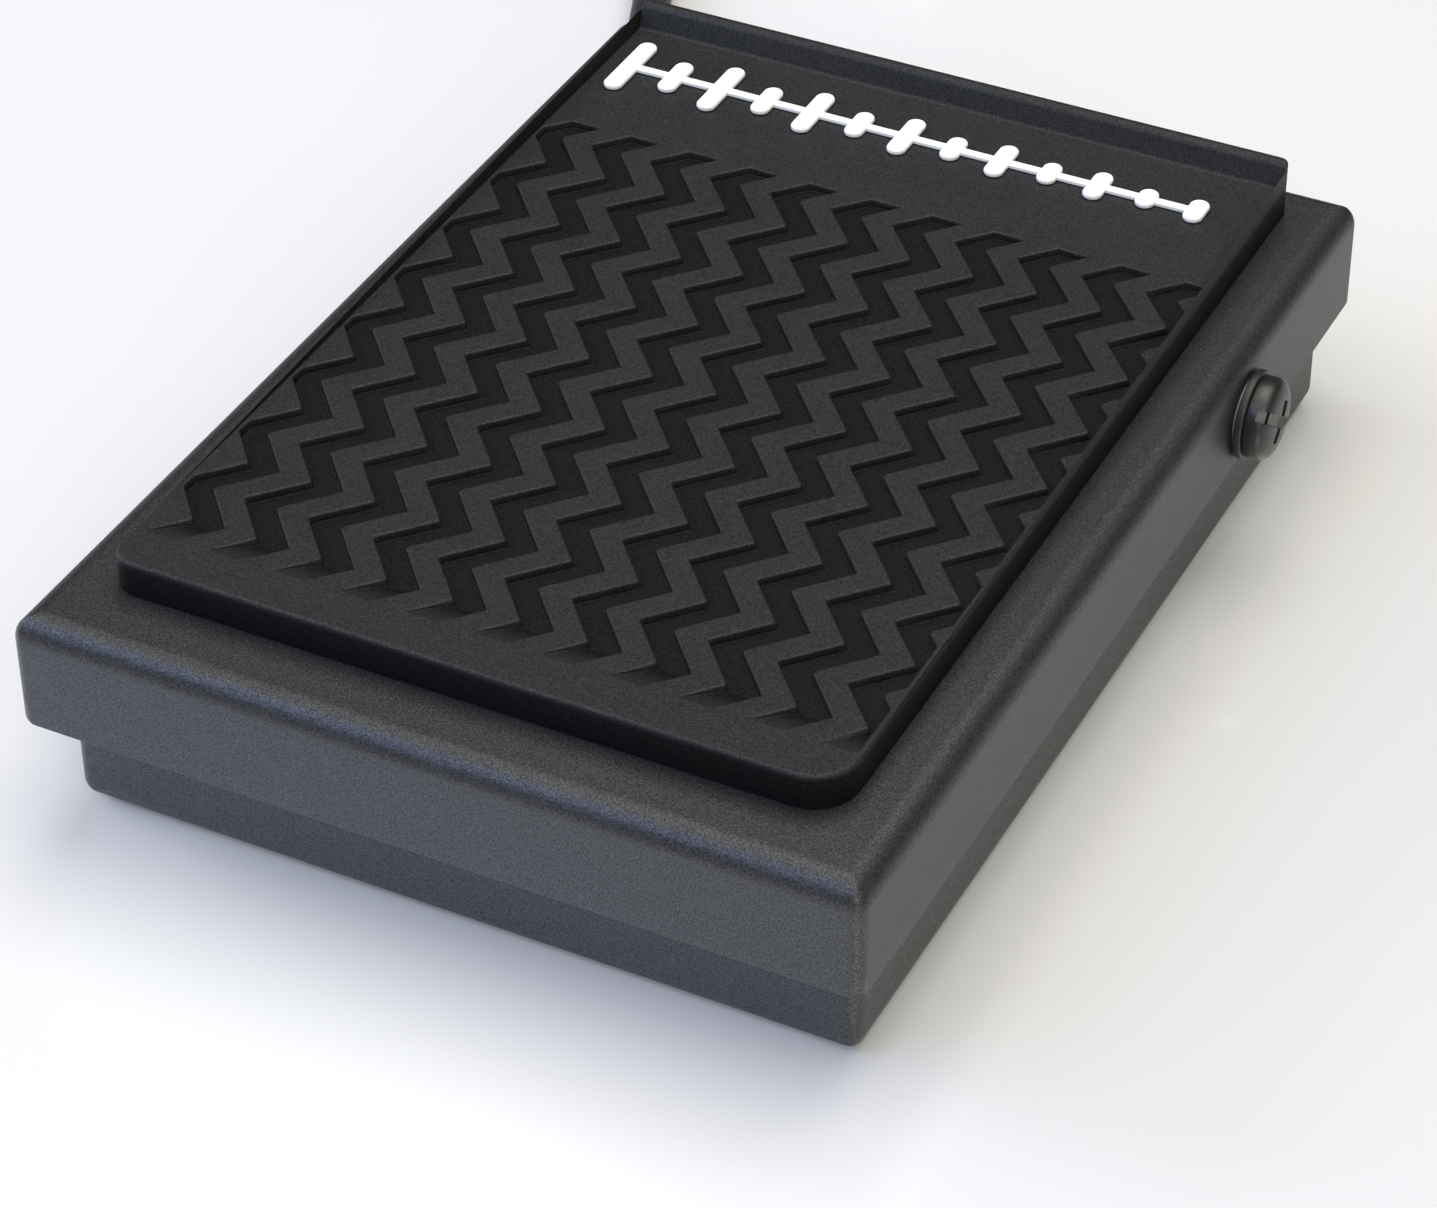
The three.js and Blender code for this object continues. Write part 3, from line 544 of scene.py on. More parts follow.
# ------------------------------------------------------------------ finishes
LID_PAINT = powder_coat("lid_powder_coat", (0.0080, 0.0083, 0.0092), (0.0112, 0.0115, 0.0125), rough=0.42, spec=0.72)
TRAY_PAINT = powder_coat("tray_powder_coat", (0.0085, 0.0088, 0.0097), (0.0118, 0.0121, 0.0132), rough=0.44, spec=0.72)
PAD_RUBBER = rubber("pad_rubber_grain", (0.0060, 0.0062, 0.0068), (0.0080, 0.0082, 0.0088), rough=0.58, spec=0.40, shaded_hollow_heights=(0.02205, 0.02252))
SOLE_RUBBER = rubber("sole_rubber_grain", (0.014, 0.014, 0.015), (0.020, 0.020, 0.021), rough=0.72, grain=1.4)
STOP_RUBBER = rubber("stop_rubber_grain", (0.016, 0.016, 0.016), (0.024, 0.024, 0.024), rough=0.66)
CABLE_JACKET = rubber("cable_jacket_vinyl", (0.012, 0.012, 0.013), (0.017, 0.017, 0.018), rough=0.46, grain=0.5, spec=0.45)
PLUG_COVER = plastic("plug_cover_vinyl", (0.016, 0.016, 0.017), rough=0.38)
BLACK_PLASTIC = plastic("black_plastic_moulded", (0.018, 0.018, 0.019), rough=0.45)
SLIDER_PLASTIC = plastic("slider_plastic_moulded", (0.022, 0.022, 0.024), rough=0.34)
RED_PLASTIC = plastic("red_plastic_moulded", (0.42, 0.020, 0.014), rough=0.36)
NYLON = plastic("natural_nylon", (0.62, 0.58, 0.48), rough=0.42, grain=0.3)
WIRE_RED = plastic("red_wire_jacket", (0.36, 0.014, 0.012), rough=0.42, grain=0.3)
WIRE_BLACK = plastic("black_wire_jacket", (0.014, 0.014, 0.014), rough=0.42, grain=0.3)
BLACK_STEEL = metal("black_oxide_steel", (0.060, 0.058, 0.056), rough=0.34, brush=(1, 1, 1), streak=0.8, dark=0.25)
ZINC = metal("zinc_plated_steel", (0.58, 0.59, 0.61), rough=0.32, brush=(1, 0.15, 1))
SPRING_STEEL = metal("drawn_spring_wire", (0.46, 0.46, 0.47), rough=0.26, brush=(0.3, 0.3, 2))
SPRING_STRIP = metal("spring_strip_steel", (0.60, 0.60, 0.61), rough=0.24, brush=(1.6, 0.1, 1))
BRASS = metal("brass_stamped", (0.63, 0.42, 0.15), rough=0.30, brush=(1, 0.2, 1))
NICKEL = metal("nickel_plated", (0.70, 0.70, 0.69), rough=0.14, brush=(0.1, 1.4, 1.4), streak=0.4)


def motif_paint():
    """Opaque white print over the moulded bars: slightly uneven, matte, with faint speckle."""
    m = Nodes("motif_white_print")
    n = m.noise(4200, 3, 0.6)
    slow = m.noise(300, 2, 0.5)
    tone = m.mix(m.mapped(slow, 0.3, 0.7, 0.0, 1.0), (0.84, 0.84, 0.82), (0.90, 0.90, 0.89))
    tone = m.mix(m.math("MULTIPLY", m.ramp(n, [(0.0, (1, 1, 1)), (0.34, (1, 1, 1)), (0.42, (0, 0, 0))]), 0.25), tone, (0.60, 0.60, 0.58))
    m.set(color=tone, rough=m.mapped(n, 0.3, 0.7, 0.42, 0.55), spec=0.4)
    m.normal(m.bump(n, 0.25, 0.00003))
    return m.mat


MOTIF = motif_paint()

# ------------------------------------------------------------------ lid: one pressed sheet
CORNER_STEPS = [5.0, 3.2, 2.2, 1.5, 1.0, 0.6, 0.3]


def perimeter(x0, y0, x1, y1, r, stations=(), n=8):
    """A rounded rectangle with extra points beside its corners, and on its two sides at the y values in stations."""
    base = rounded_rect(x0, y0, x1, y1, r, n)
    arcs = [base[i * (n + 1) : (i + 1) * (n + 1)] for i in range(4)]
    out = []
    for i in range(4):
        out += arcs[i]
        a, b = Vector(arcs[i][-1]), Vector(arcs[(i + 1) % 4][0])
        d = (b - a).normalized()
        pts = [a + d * s for s in reversed(CORNER_STEPS)]
        if i == 1:
            pts += [Vector((a.x, y)) for y in sorted(stations)]
        if i == 3:
            pts += [Vector((a.x, y)) for y in sorted(stations, reverse=True)]
        pts += [b - d * s for s in CORNER_STEPS]
        out += [tuple(p) for p in pts]
    return out


def sheet_rings(box, corner, sheet, bend, z_edge, z_face, lift=1.3, rim=None, stations=(), edge_r=0.18, inner_corner=None):
    """Rings of a pressed sheet from the middle of its inner face, round its free edge, to the middle of its outer face.
    The face is flat at z_face and the skirt runs to z_edge; rim(x, y) may give the free edge its own height."""
    x0, y0, x1, y1 = box
    up = 1 if z_face > z_edge else -1
    rings = []

    def corner_gap(p, ins):
        """Distance along the outline from the nearest corner's middle."""
        dx = min(p[0] - (x0 + ins), (x1 - ins) - p[0])
        dy = min(p[1] - (y0 + ins), (y1 - ins) - p[1])
        return max(dx, dy)

    def ring(ins, depth, edge=False, extra=0.0):
        # depth is the distance from the face plane, or from the free edge when edge is true
        rad = max(corner - ins, 0.12)
        pts = perimeter(x0 + ins, y0 + ins, x1 - ins, y1 - ins, rad, stations)
        row = []
        for x, y in pts:
            if not edge:
                row.append((x, y, z_face - up * depth))
                continue
            z = rim(x, y) if rim else z_edge
            if lift > 0:
                g = corner_gap((x, y), ins)
                if g < lift:
                    z += up * (lift - math.sqrt(max(0.0, lift * lift - (lift - g) ** 2)))
            row.append((x, y, z + up * depth))
        rings.append(row)

    ri = max(bend - sheet, 0.25)
    # inner face to inner skirt
    for k in range(5):
        a = math.pi / 2 * k / 4
        ring(sheet + ri * (1 - math.sin(a)), sheet + ri * (1 - math.cos(a)))
    ring(sheet, sheet + ri + 1.2)
    # free edge
    ring(sheet, 2.2, edge=True)
    ring(sheet, edge_r, edge=True)
    ring(sheet - edge_r * 0.3, edge_r * 0.3, edge=True)
    ring(sheet - edge_r, 0.0, edge=True)
    ring(edge_r, 0.0, edge=True)
    ring(edge_r * 0.3, edge_r * 0.3, edge=True)
    ring(0.0, edge_r, edge=True)
    ring(0.0, 2.2, edge=True)
    # outer skirt to outer face
    ring(0.0, bend + 1.2)
    for k in range(9):
        a = math.pi / 2 * (8 - k) / 8
        ring(bend * (1 - math.sin(a)), bend * (1 - math.cos(a)))
    return rings


LID_BEND = 2.1
lid = build(
    "lid_shell",
    loft(sheet_rings((LID_LO[0], LID_LO[1], LID_HI[0], LID_HI[1]), 1.1, SHEET, LID_BEND, SKIRT_Z, LID_TOP)),
    "treadle", ["cover"], LID_PAINT, sharp=34,
)
boolean(lid, [cutter(lathe([(0, -40), (3.15, -40), (3.15, 40), (0, 40)], 64, about_x(PIVOT_Y, PIVOT_Z)))])
resharpen(lid, 34)

# ------------------------------------------------------------------ rubber pad: ribs, border, ridge
PX, PF, PR = PAD_HI[0], PAD_LO[1], PAD_HI[1]
PAD_TOP, PAD_BOTTOM = 22.65, PAD_LO[2]
R_FL, R_FR, R_REAR = 2.0, 3.7, 1.4  # plan radii: front left, front right, rear
PITCH, WIDTH, PERIOD, SWING = 5.595, 2.87, 7.939, 3.54
RIB_X0, RIB_Y0 = -26.74, -35.57
DEPTH, T_FRONT, T_REAR, T_HALF, RAMP = 0.70, -38.5, 26.65, 29.6, 2.9
SLOPE = 2 * SWING / PERIOD
OFF = math.sqrt(1 + SLOPE * SLOPE)
SOFT = 0.22  # half length of a zigzag bend's rounding, along Y


def zigzag(y):
    t = ((y - RIB_Y0) / PERIOD) % 1.0
    tri = 2 * t if t < 0.5 else 2 - 2 * t
    near = min(t, 1 - t) * PERIOD
    if near < SOFT:
        return -SLOPE * (near * near / (2 * SOFT) + SOFT / 2)
    far = abs(t - 0.5) * PERIOD
    if far < SOFT:
        return -SWING + SLOPE * (far * far / (2 * SOFT) + SOFT / 2)
    return -SWING * tri


# (inset from the groove's wall, share of the depth)
GROOVE = [(-0.20, 0.0), (-0.14, 0.012), (-0.08, 0.05), (-0.03, 0.12), (0.0, 0.20), (0.05, 0.86), (0.09, 0.94), (0.15, 0.985), (0.22, 1.0)]


def groove_inside(x, y):
    """How far (x, y) lies inside the nearest groove's outline."""
    c = min(x + T_HALF, T_HALF - x, y - T_FRONT, T_REAR - y)
    z = zigzag(y)
    k = math.floor((x - z - RIB_X0) / PITCH)
    best = -9.0
    for q in (k - 1, k, k + 1):
        if -1 <= q <= 10:
            a = RIB_X0 + PITCH * q + z
            best = max(best, min((x - a) / OFF, (a + PITCH - WIDTH - x) / OFF, c))
    return best


def groove_share(s):
    if s <= GROOVE[0][0]:
        return 0.0
    for (a, u), (b, v) in zip(GROOVE, GROOVE[1:]):
        if s <= b:
            return u + (v - u) * (s - a) / (b - a)
    return 1.0


def pad_inside(x, y):
    """How far (x, y) lies inside the pad's outline."""
    ax = abs(x)
    r = R_FL if x < 0 else R_FR
    if y < PF + r and ax > PX - r:
        return r - math.hypot(ax - (PX - r), y - (PF + r))
    if y > PR - R_REAR and ax > PX - R_REAR:
        return R_REAR - math.hypot(ax - (PX - R_REAR), y - (PR - R_REAR))
    return min(PX - ax, y - PF, PR - y)


LIP_TOP, LIP_R = PAD_HI[2], 0.8
LIP_SIDE = [(42.2, 0.0)]
for k in range(7):  # hollow at the foot of the ridge
    a = math.radians(270 + 65 * k / 6)
    LIP_SIDE.append((42.48 + 0.4 * math.cos(a), 0.4 + 0.4 * math.sin(a)))
for k in range(18):  # rounded crest and rear edge
    a = math.radians(155 - 153 * k / 17)
    LIP_SIDE.append((PR - LIP_R + LIP_R * math.cos(a), LIP_TOP - LIP_R + LIP_R * math.sin(a) - PAD_TOP))
LIP_SIDE.append((PR + 0.01, LIP_TOP - LIP_R - PAD_TOP))


def lip(y):
    if y <= LIP_SIDE[0][0]:
        return 0.0
    for (a, u), (b, v) in zip(LIP_SIDE, LIP_SIDE[1:]):
        if y <= b:
            return u + (v - u) * (y - a) / max(b - a, 1e-9)
    return LIP_SIDE[-1][1]


EDGE = 0.30
EDGE_STEPS = [0.0, 0.010, 0.04, 0.09, 0.16, 0.23, EDGE]


def edge_drop(s):
    s = max(0.0, s)
    if s >= EDGE:
        return 0.0
    for a, b in zip(EDGE_STEPS, EDGE_STEPS[1:]):
        if s <= b:
            u = EDGE - math.sqrt(max(0.0, EDGE ** 2 - (EDGE - a) ** 2))
            v = EDGE - math.sqrt(max(0.0, EDGE ** 2 - (EDGE - b) ** 2))
            return u + (v - u) * (s - a) / (b - a)
    return 0.0


def pad_height(x, y):
    z = PAD_TOP + lip(y) - edge_drop(pad_inside(x, y))
    if T_FRONT - 0.3 < y < T_REAR + 0.3:
        z -= DEPTH * min(1.0, max(0.0, (y - T_FRONT) / RAMP)) * groove_share(groove_inside(x, y))
    return z


def groove_loops(inset):
    """Outlines of the part of the grooves that lies at least inset inside their walls."""
    h = inset * OFF
    xl, y0, y1 = T_HALF - inset, T_FRONT + inset, T_REAR - inset
    ys = {y0, y1}
    y = RIB_Y0 - 2 * PERIOD
    while y < T_REAR + PERIOD:
        for d in (-SOFT, -SOFT / 2, 0, SOFT / 2, SOFT):
            for b in (y, y + PERIOD / 2):
                if y0 < b + d < y1:
                    ys.add(b + d)
        y += PERIOD
    if y0 < T_FRONT + RAMP < y1:
        ys.add(T_FRONT + RAMP)
    ys = sorted(ys)
    ys = [v for i, v in enumerate(ys) if i == 0 or v - ys[i - 1] > 1e-6]
    loops = []
    for k in range(-1, 11):
        left = lambda v: RIB_X0 + PITCH * k + zigzag(v) + h
        right = lambda v: RIB_X0 + PITCH * k + zigzag(v) + PITCH - WIDTH - h
        # add the heights where a wall crosses the side of the tread
        marks = list(ys)
        for a, b in zip(ys, ys[1:]):
            for f, lim in ((left, -xl), (right, -xl), (left, xl), (right, xl)):
                fa, fb = f(a) - lim, f(b) - lim
                if fa * fb < 0:
                    lo_, hi_ = a, b
                    for _ in range(40):
                        mid = (lo_ + hi_) / 2
                        if (f(lo_) - lim) * (f(mid) - lim) <= 0:
                            hi_ = mid
                        else:
                            lo_ = mid
                    marks.append((lo_ + hi_) / 2)
        marks = sorted(marks)
        marks = [v for i, v in enumerate(marks) if i == 0 or v - marks[i - 1] > 1e-6]
        run = []

        def close():
            if len(run) >= 2:
                L = [(a, v) for a, b, v in run]
                R = [(b, v) for a, b, v in run]
                pts = L + R[::-1]
                keep = [p for i, p in enumerate(pts) if math.dist(p, pts[i - 1]) > 2e-5]
                if len(keep) >= 3:
                    loops.append(keep)

        for v in marks:
            a, b = max(left(v), -xl), min(right(v), xl)
            if b - a > -1e-7:
                run.append((a, max(a, b), v))
            else:
                close()
                run = []
        close()
    return loops


def pad_outline(inset):
    fl, fr, rr = R_FL - inset, R_FR - inset, R_REAR - inset
    return rounded_rect(-PX + inset, PF + inset, PX - inset, PR - inset, (fl, fr, rr, rr), 12)


def make_pad():
    verts, edges = [], []

    def loop(pts):
        s = len(verts)
        verts.extend(Vector(p) for p in pts)
        edges.extend((s + i, s + (i + 1) % len(pts)) for i in range(len(pts)))

    for s in EDGE_STEPS:
        loop(pad_outline(s))
    for y, _ in LIP_SIDE[:-1]:
        over = max(0.0, y - (PR - R_REAR))
        half = PX - R_REAR + math.sqrt(max(0.0, R_REAR ** 2 - over ** 2)) if over > 0 else PX
        if y > PR - 0.03:
            continue
        s = len(verts)
        verts.extend([Vector((-half + 0.004, y)), Vector((half - 0.004, y))])
        edges.append((s, s + 1))
    for inset, _ in GROOVE:
        for pts in groove_loops(inset):
            loop(pts)
    co, _, faces, *_ = delaunay_2d_cdt(verts, edges, [], 0, 1e-6, False)
    bm = bmesh.new()
    top = [bm.verts.new((p.x, p.y, pad_height(p.x, p.y))) for p in co]
    for f in faces:
        try:
            bm.faces.new([top[i] for i in f])
        except ValueError:
            pass
    loose = [v for v in bm.verts if not v.link_faces]
    bmesh.ops.delete(bm, geom=loose, context="VERTS")
    rim = [e for e in bm.edges if e.is_boundary]
    for z, inset in ((PAD_BOTTOM + 0.12, 0.0), (PAD_BOTTOM, 0.10)):
        got = bmesh.ops.extrude_edge_only(bm, edges=rim)
        new = [g for g in got["geom"] if isinstance(g, bmesh.types.BMVert)]
        for v in new:
            v.co.z = z
            if inset:
                v.co.x *= (PX - inset) / PX
                v.co.y = (v.co.y - 0.7) * (43.8 - inset) / 43.8 + 0.7
        rim = [g for g in got["geom"] if isinstance(g, bmesh.types.BMEdge) and g.is_boundary]
    bmesh.ops.contextual_create(bm, geom=rim)
    return bm


pad = build("rubber_tread", make_pad(), "treadle", ["tread_pad"], PAD_RUBBER, sharp=60)

# ------------------------------------------------------------------ white bar motif on the pad
M_LO, M_HI = mm_box("pad_motif")
M_Y = (M_LO[1] + M_HI[1]) / 2
BAR_HALF = [4.0, 2.4, 3.6, 2.1, 3.2, 1.9, 2.8, 1.7, 2.4, 1.5, 2.0, 1.3, 1.6]
motif_line = prism(rounded_rect(-27.4, M_Y - 0.4, 25.04, M_Y + 0.4, 0.38, 6), M_LO[2], M_HI[2] - 0.10, bevel=0.10)
motif = build("bar_motif", motif_line, "treadle", ["pad_motif"], MOTIF, sharp=50)
bar_cutters = []
for i, h in enumerate(BAR_HALF):
    x = -27.4 + 4.37 * i
    pts = arc(x, M_Y + h - 0.85, 0.85, 0, 180, 16) + arc(x, M_Y - h + 0.85, 0.85, 180, 360, 16)
    bar_cutters.append(cutter(prism(pts, M_LO[2], M_HI[2], bevel=0.18, segments=4)))
boolean(motif, bar_cutters, "UNION")
resharpen(motif, 50)

# ------------------------------------------------------------------ tray: one pressed sheet with two ears
TB = 1.25
EAR_Y = [PIVOT_Y - 7.6] + [PIVOT_Y + 4.6 * math.cos(math.radians(142 - 104 * k / 16)) for k in range(17)] + [PIVOT_Y + 7.6]
EAR_Z = [12.6] + [12.8 + 4.6 * math.sin(math.radians(142 - 104 * k / 16)) for k in range(17)] + [12.6]


def tray_rim(x, y):
    if abs(x) < TRAY_HI[0] - 1.6:
        return 12.6
    for (a, u), (b, v) in zip(zip(EAR_Y, EAR_Z), zip(EAR_Y[1:], EAR_Z[1:])):
        if a <= y <= b:
            return u + (v - u) * (y - a) / max(b - a, 1e-9)
    return 12.6


tray_bm = loft(sheet_rings((TRAY_LO[0], TRAY_LO[1], TRAY_HI[0], TRAY_HI[1]), 1.2, SHEET, TB, 12.6, TRAY_LO[2], lift=0.0, rim=tray_rim, stations=EAR_Y))
for v in tray_bm.verts:  # the pressed foot bulges a little below and ahead of the floor
    if v.co.z < 1.9:
        v.co.z -= 0.38 * min(1.0, (1.9 - v.co.z) / 1.1)
tray = build(
    "tray_shell",
    tray_bm,
    "base", ["base_tray"], TRAY_PAINT, sharp=34,
)
CABLE_X, CABLE_Z = -14.0, 5.2
POL_X, POL_Z = 14.0, 5.6
BRACKET_SCREWS = [(24, -11), (24, -20)]
cuts = [
    cutter(lathe([(0, -40), (2.05, -40), (2.05, 40), (0, 40)], 48, about_x(PIVOT_Y, PIVOT_Z))),
    cutter(lathe([(0, 40), (2.9, 40), (2.9, 50), (0, 50)], 64, about_y(CABLE_X, CABLE_Z))),
    cutter(box_bm(POL_X - 2.4, POL_X + 2.4, 43, 49, POL_Z - 1.3, POL_Z + 1.3, bevel=0)),
]
cuts += [cutter(lathe([(0, 40), (1.15, 40), (1.15, 50), (0, 50)], 32, about_y(POL_X + d, POL_Z))) for d in (-7.2, 7.2)]
cuts += [cutter(lathe([(0, 0), (1.7, 0), (1.7, 4), (0, 4)], 32, at(x, y))) for x, y in BRACKET_SCREWS]
boolean(tray, cuts)
resharpen(tray, 34)

S_LO, S_HI = mm_box("rubber_sole")
build(
    "sole_sheet",
    prism(rounded_rect(S_LO[0], S_LO[1], S_HI[0], S_HI[1], 3.0, 12), S_LO[2], S_LO[2] + 0.40, bevel=0.12),
    "base", ["rubber_sole"], SOLE_RUBBER,
)

# ------------------------------------------------------------------ pivots
TURN = -0.63


def thread(r, pitch, depth, z0, z1):
    def wave(a, q, z):
        if abs(q - r) > 1e-6 or not z0 < z < z1:
            return q
        t = (z / pitch - a / (2 * math.pi)) % 1.0
        fade = min(1.0, (z - z0) / pitch, (z1 - z) / pitch)
        return r - depth * fade * abs(2 * t - 1)
    return wave


def screw_line(points, r, z0, z1, step):
    """Adds stations between z0 and z1 on the straight part of radius r, for the thread."""
    out = []
    for a, b in zip(points, points[1:] + points[-1:]):
        out.append(a)
        if abs(a[0] - r) < 1e-6 and abs(b[0] - r) < 1e-6:
            n = int(abs(b[1] - a[1]) / step)
            out += [(r, a[1] + (b[1] - a[1]) * k / n) for k in range(1, n)]
    return out


head_arc = [(3.45 * math.cos(math.radians(a)) ** 0.55, 37.0 + 1.0 * math.sin(math.radians(a))) for a in (18, 30, 42, 54, 66, 76, 84)]
PAN_HEAD = [(0, 29.0), (1.6, 29.0), (1.95, 29.35), (1.95, 35.95), (3.30, 35.95), (3.42, 36.0), (3.45, 36.1), (3.45, 37.0)] + head_arc + [(0, 38.0)]
LOW_HEAD = [(0, 28.4), (1.6, 28.4), (1.95, 28.75), (1.95, 35.25), (2.7, 35.25), (2.77, 35.29), (2.8, 35.36), (2.8, 35.58), (2.74, 35.72), (2.6, 35.83), (2.4, 35.88), (0, 35.9)]
for side, s, line, washer in (("right", 1, PAN_HEAD, (35.25, 35.9)), ("left", -1, LOW_HEAD, (31.35, 31.85))):
    screw = build(
        "pivot_bolt_" + side, lathe(screw_line(line, 1.95, 29.4, 33.2, 0.1), 64, about_x(PIVOT_Y, PIVOT_Z, s), thread(1.95, 0.7, 0.2, line[1][1] + 0.3, 33.4)),
        "base", ["pivot_screw_" + side], BLACK_STEEL, sharp=40,
    )

    def turned_box(x0, x1, y, z, turn):
        bm = box_bm(x0, x1, -y, y, -z, z, bevel=0)
        c, t = math.cos(turn), math.sin(turn)
        for v in bm.verts:
            px, py, pz = v.co
            py, pz = py * c - pz * t, py * t + pz * c
            v.co = (s * px, PIVOT_Y + s * py, PIVOT_Z + pz)
        return cutter(bm)

    if side == "right":
        boolean(screw, [turned_box(36.8, 39, 4.5, 0.5, TURN), turned_box(36.5, 39, 0.45, 1.8, TURN)])
    else:
        boolean(screw, [turned_box(35.6, 37, 3.5, 0.35, 0.0)])
    edge = screw.modifiers.new("edge", "BEVEL")
    edge.width, edge.segments, edge.limit_method, edge.angle_limit = 0.00006, 2, "ANGLE", math.radians(50)
    screw.modifiers.move(len(screw.modifiers) - 1, 0)
    resharpen(screw, 40)
    build(
        "pivot_disc_" + side,
        lathe(profile([(2.1, washer[0]), (3.75, washer[0]), (3.75, washer[1]), (2.1, washer[1])], 0.12), 64, about_x(PIVOT_Y, PIVOT_Z, s)),
        "base", ["pivot_washer_" + side], BLACK_PLASTIC,
    )
    build(
        "pivot_sleeve_" + side,
        lathe(profile([(2.1, 33.2), (3.9, 33.2), (3.9, 33.74), (3.0, 33.74), (3.0, 35.2), (2.1, 35.2)], 0.08), 64, about_x(PIVOT_Y, PIVOT_Z, s)),
        "treadle", ["pivot_bush_" + side], NYLON,
    )


def hex_nut(name, replaces, across, bore, thick, to):
    """A hexagon nut with turned chamfers and a plain bore chamfered at both ends."""
    hexagon = arc(0, 0, across / math.sqrt(3), 0, 300, 5)
    hexagon = round_path(hexagon, 0.12 * across / 7, 3)[0]
    o = build(name, prism(hexagon, 0, thick, to=to, bevel=0.03 * across / 7), "base", replaces, ZINC)
    r = across / math.sqrt(3)
    cone = cutter(lathe([(0, -0.4), (across / 2 - 0.25, -0.4), (across / 2 - 0.05, 0.0), (r + 0.2, 0.0 + (r - across / 2 + 0.2) * 0.5),
                         (r + 0.2, thick - (r - across / 2 + 0.2) * 0.5), (across / 2 - 0.05, thick), (across / 2 - 0.25, thick + 0.4), (0, thick + 0.4)], 48, to))
    boolean(o, [cone], "INTERSECT")
    boolean(o, [cutter(lathe([(0, -1), (bore + 0.25, -1), (bore + 0.25, -0.001), (bore, 0.25), (bore, thick - 0.25), (bore + 0.25, thick + 0.001), (bore + 0.25, thick + 1), (0, thick + 1)], 40, to))])
    resharpen(o, 30)
    return o


for side, s, x0 in (("right", 1, 29.4), ("left", -1, 28.9)):
    hex_nut("hinge_nut_" + side, ["pivot_nut_" + side], 7.0, 2.02, 2.4,
            (lambda s, x0: lambda x, y, z: (s * (x0 + z), PIVOT_Y + y, PIVOT_Z + x))(s, x0))

# ------------------------------------------------------------------ rubber stops, post, boss, spring
FLOOR = TRAY_LO[2] + SHEET + 0.05
for side, s in (("left", -1), ("right", 1)):
    build(
        "stop_front_" + side,
        lathe(profile([(0, FLOOR), (5, FLOOR), (5, 4), (4.2, 5), (4.0, 13.4), (3.2, 14.1), (0, 14.35)], [0, 0.2, 0.4, 0.5, 0.6, 0.6, 0], 4), 56, at(20 * s, -37)),
        "base", ["front_bumper_" + side], STOP_RUBBER,
    )
    build(
        "stop_rear_" + side,
        lathe(profile([(0, FLOOR), (4.2, FLOOR), (4.2, 4), (3.4, 5), (3.2, 17.3), (2.6, 17.9), (0, 18.1)], [0, 0.2, 0.4, 0.5, 0.5, 0.5, 0], 4), 56, at(26 * s, 38.5)),
        "base", ["rear_bumper_" + side], STOP_RUBBER,
    )
UNDER = LID_TOP - SHEET - 0.02
build(
    "press_post",
    lathe(profile([(0, 16.3), (0.9, 16.35), (1.6, 16.7), (1.8, 17.1), (1.8, 17.6), (3.6, 17.6), (3.6, UNDER), (0, UNDER)], [0, 0.3, 0.3, 0.2, 0.15, 0.15, 0.08, 0]), 48, at(14, -22)),
    "treadle", ["actuator_post"], BLACK_PLASTIC,
)
build(
    "coil_boss",
    lathe(profile([(0, 14.6), (3.4, 14.6), (4.0, 15.2), (4.0, 17.2), (7.2, 17.2), (7.2, UNDER), (0, UNDER)], [0, 0.2, 0.2, 0.3, 0.2, 0.1, 0]), 56, at(0, -14)),
    "treadle", ["spring_boss"], BLACK_PLASTIC,
)
build(
    "coil_seat",
    lathe(profile([(0, FLOOR), (8, FLOOR), (8, 4.6), (7.2, 4.6), (7.2, 3.2), (4.0, 3.2), (4.0, 5.4), (3.4, 6.0), (0, 6.0)], [0, 0.15, 0.2, 0.15, 0.15, 0.2, 0.2, 0.25, 0]), 64, at(0, -14)),
    "base", ["spring_seat"], BLACK_PLASTIC,
)
SP_R, SP_W, SP_TURNS, SP_Z0, SP_Z1 = 5.2, 0.6, 6, 3.85, 16.5
coil = []
for i in range(SP_TURNS * 40 + 1):
    t = i / (SP_TURNS * 40)
    a = 2 * math.pi * SP_TURNS * t
    e, flat = 0.75 / SP_TURNS, 2.2 * SP_W * 0.75
    span = SP_Z1 - SP_Z0
    z = flat * t / e if t < e else span - flat * (1 - t) / e if t > 1 - e else flat + (span - 2 * flat) * (t - e) / (1 - 2 * e)
    coil.append(Vector((SP_R * math.cos(a), -14 + SP_R * math.sin(a), SP_Z0 + z)))
spring = build("coil_spring", tube(coil, SP_W, 12, 0.08), "base", ["return_spring"], SPRING_STEEL, weighted=False)
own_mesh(spring)

# ------------------------------------------------------------------ switch, its bracket, screws and nuts


def slotted(name, body, replaces, line, r, pitch, depth, z0, z1, to, slots, material, segments=40):
    o = build(name, lathe(screw_line(line, r, z0, z1, pitch / 7), segments, to, thread(r, pitch, depth, z0, z1)), body, replaces, material, sharp=40)
    boolean(o, [cutter(b) for b in slots])
    resharpen(o, 40)
    return o


def mapped_box(to, x0, x1, y0, y1, z0, z1):
    bm = box_bm(x0, x1, y0, y1, z0, z1, bevel=0)
    for v in bm.verts:
        v.co = to(*v.co)
    return bm


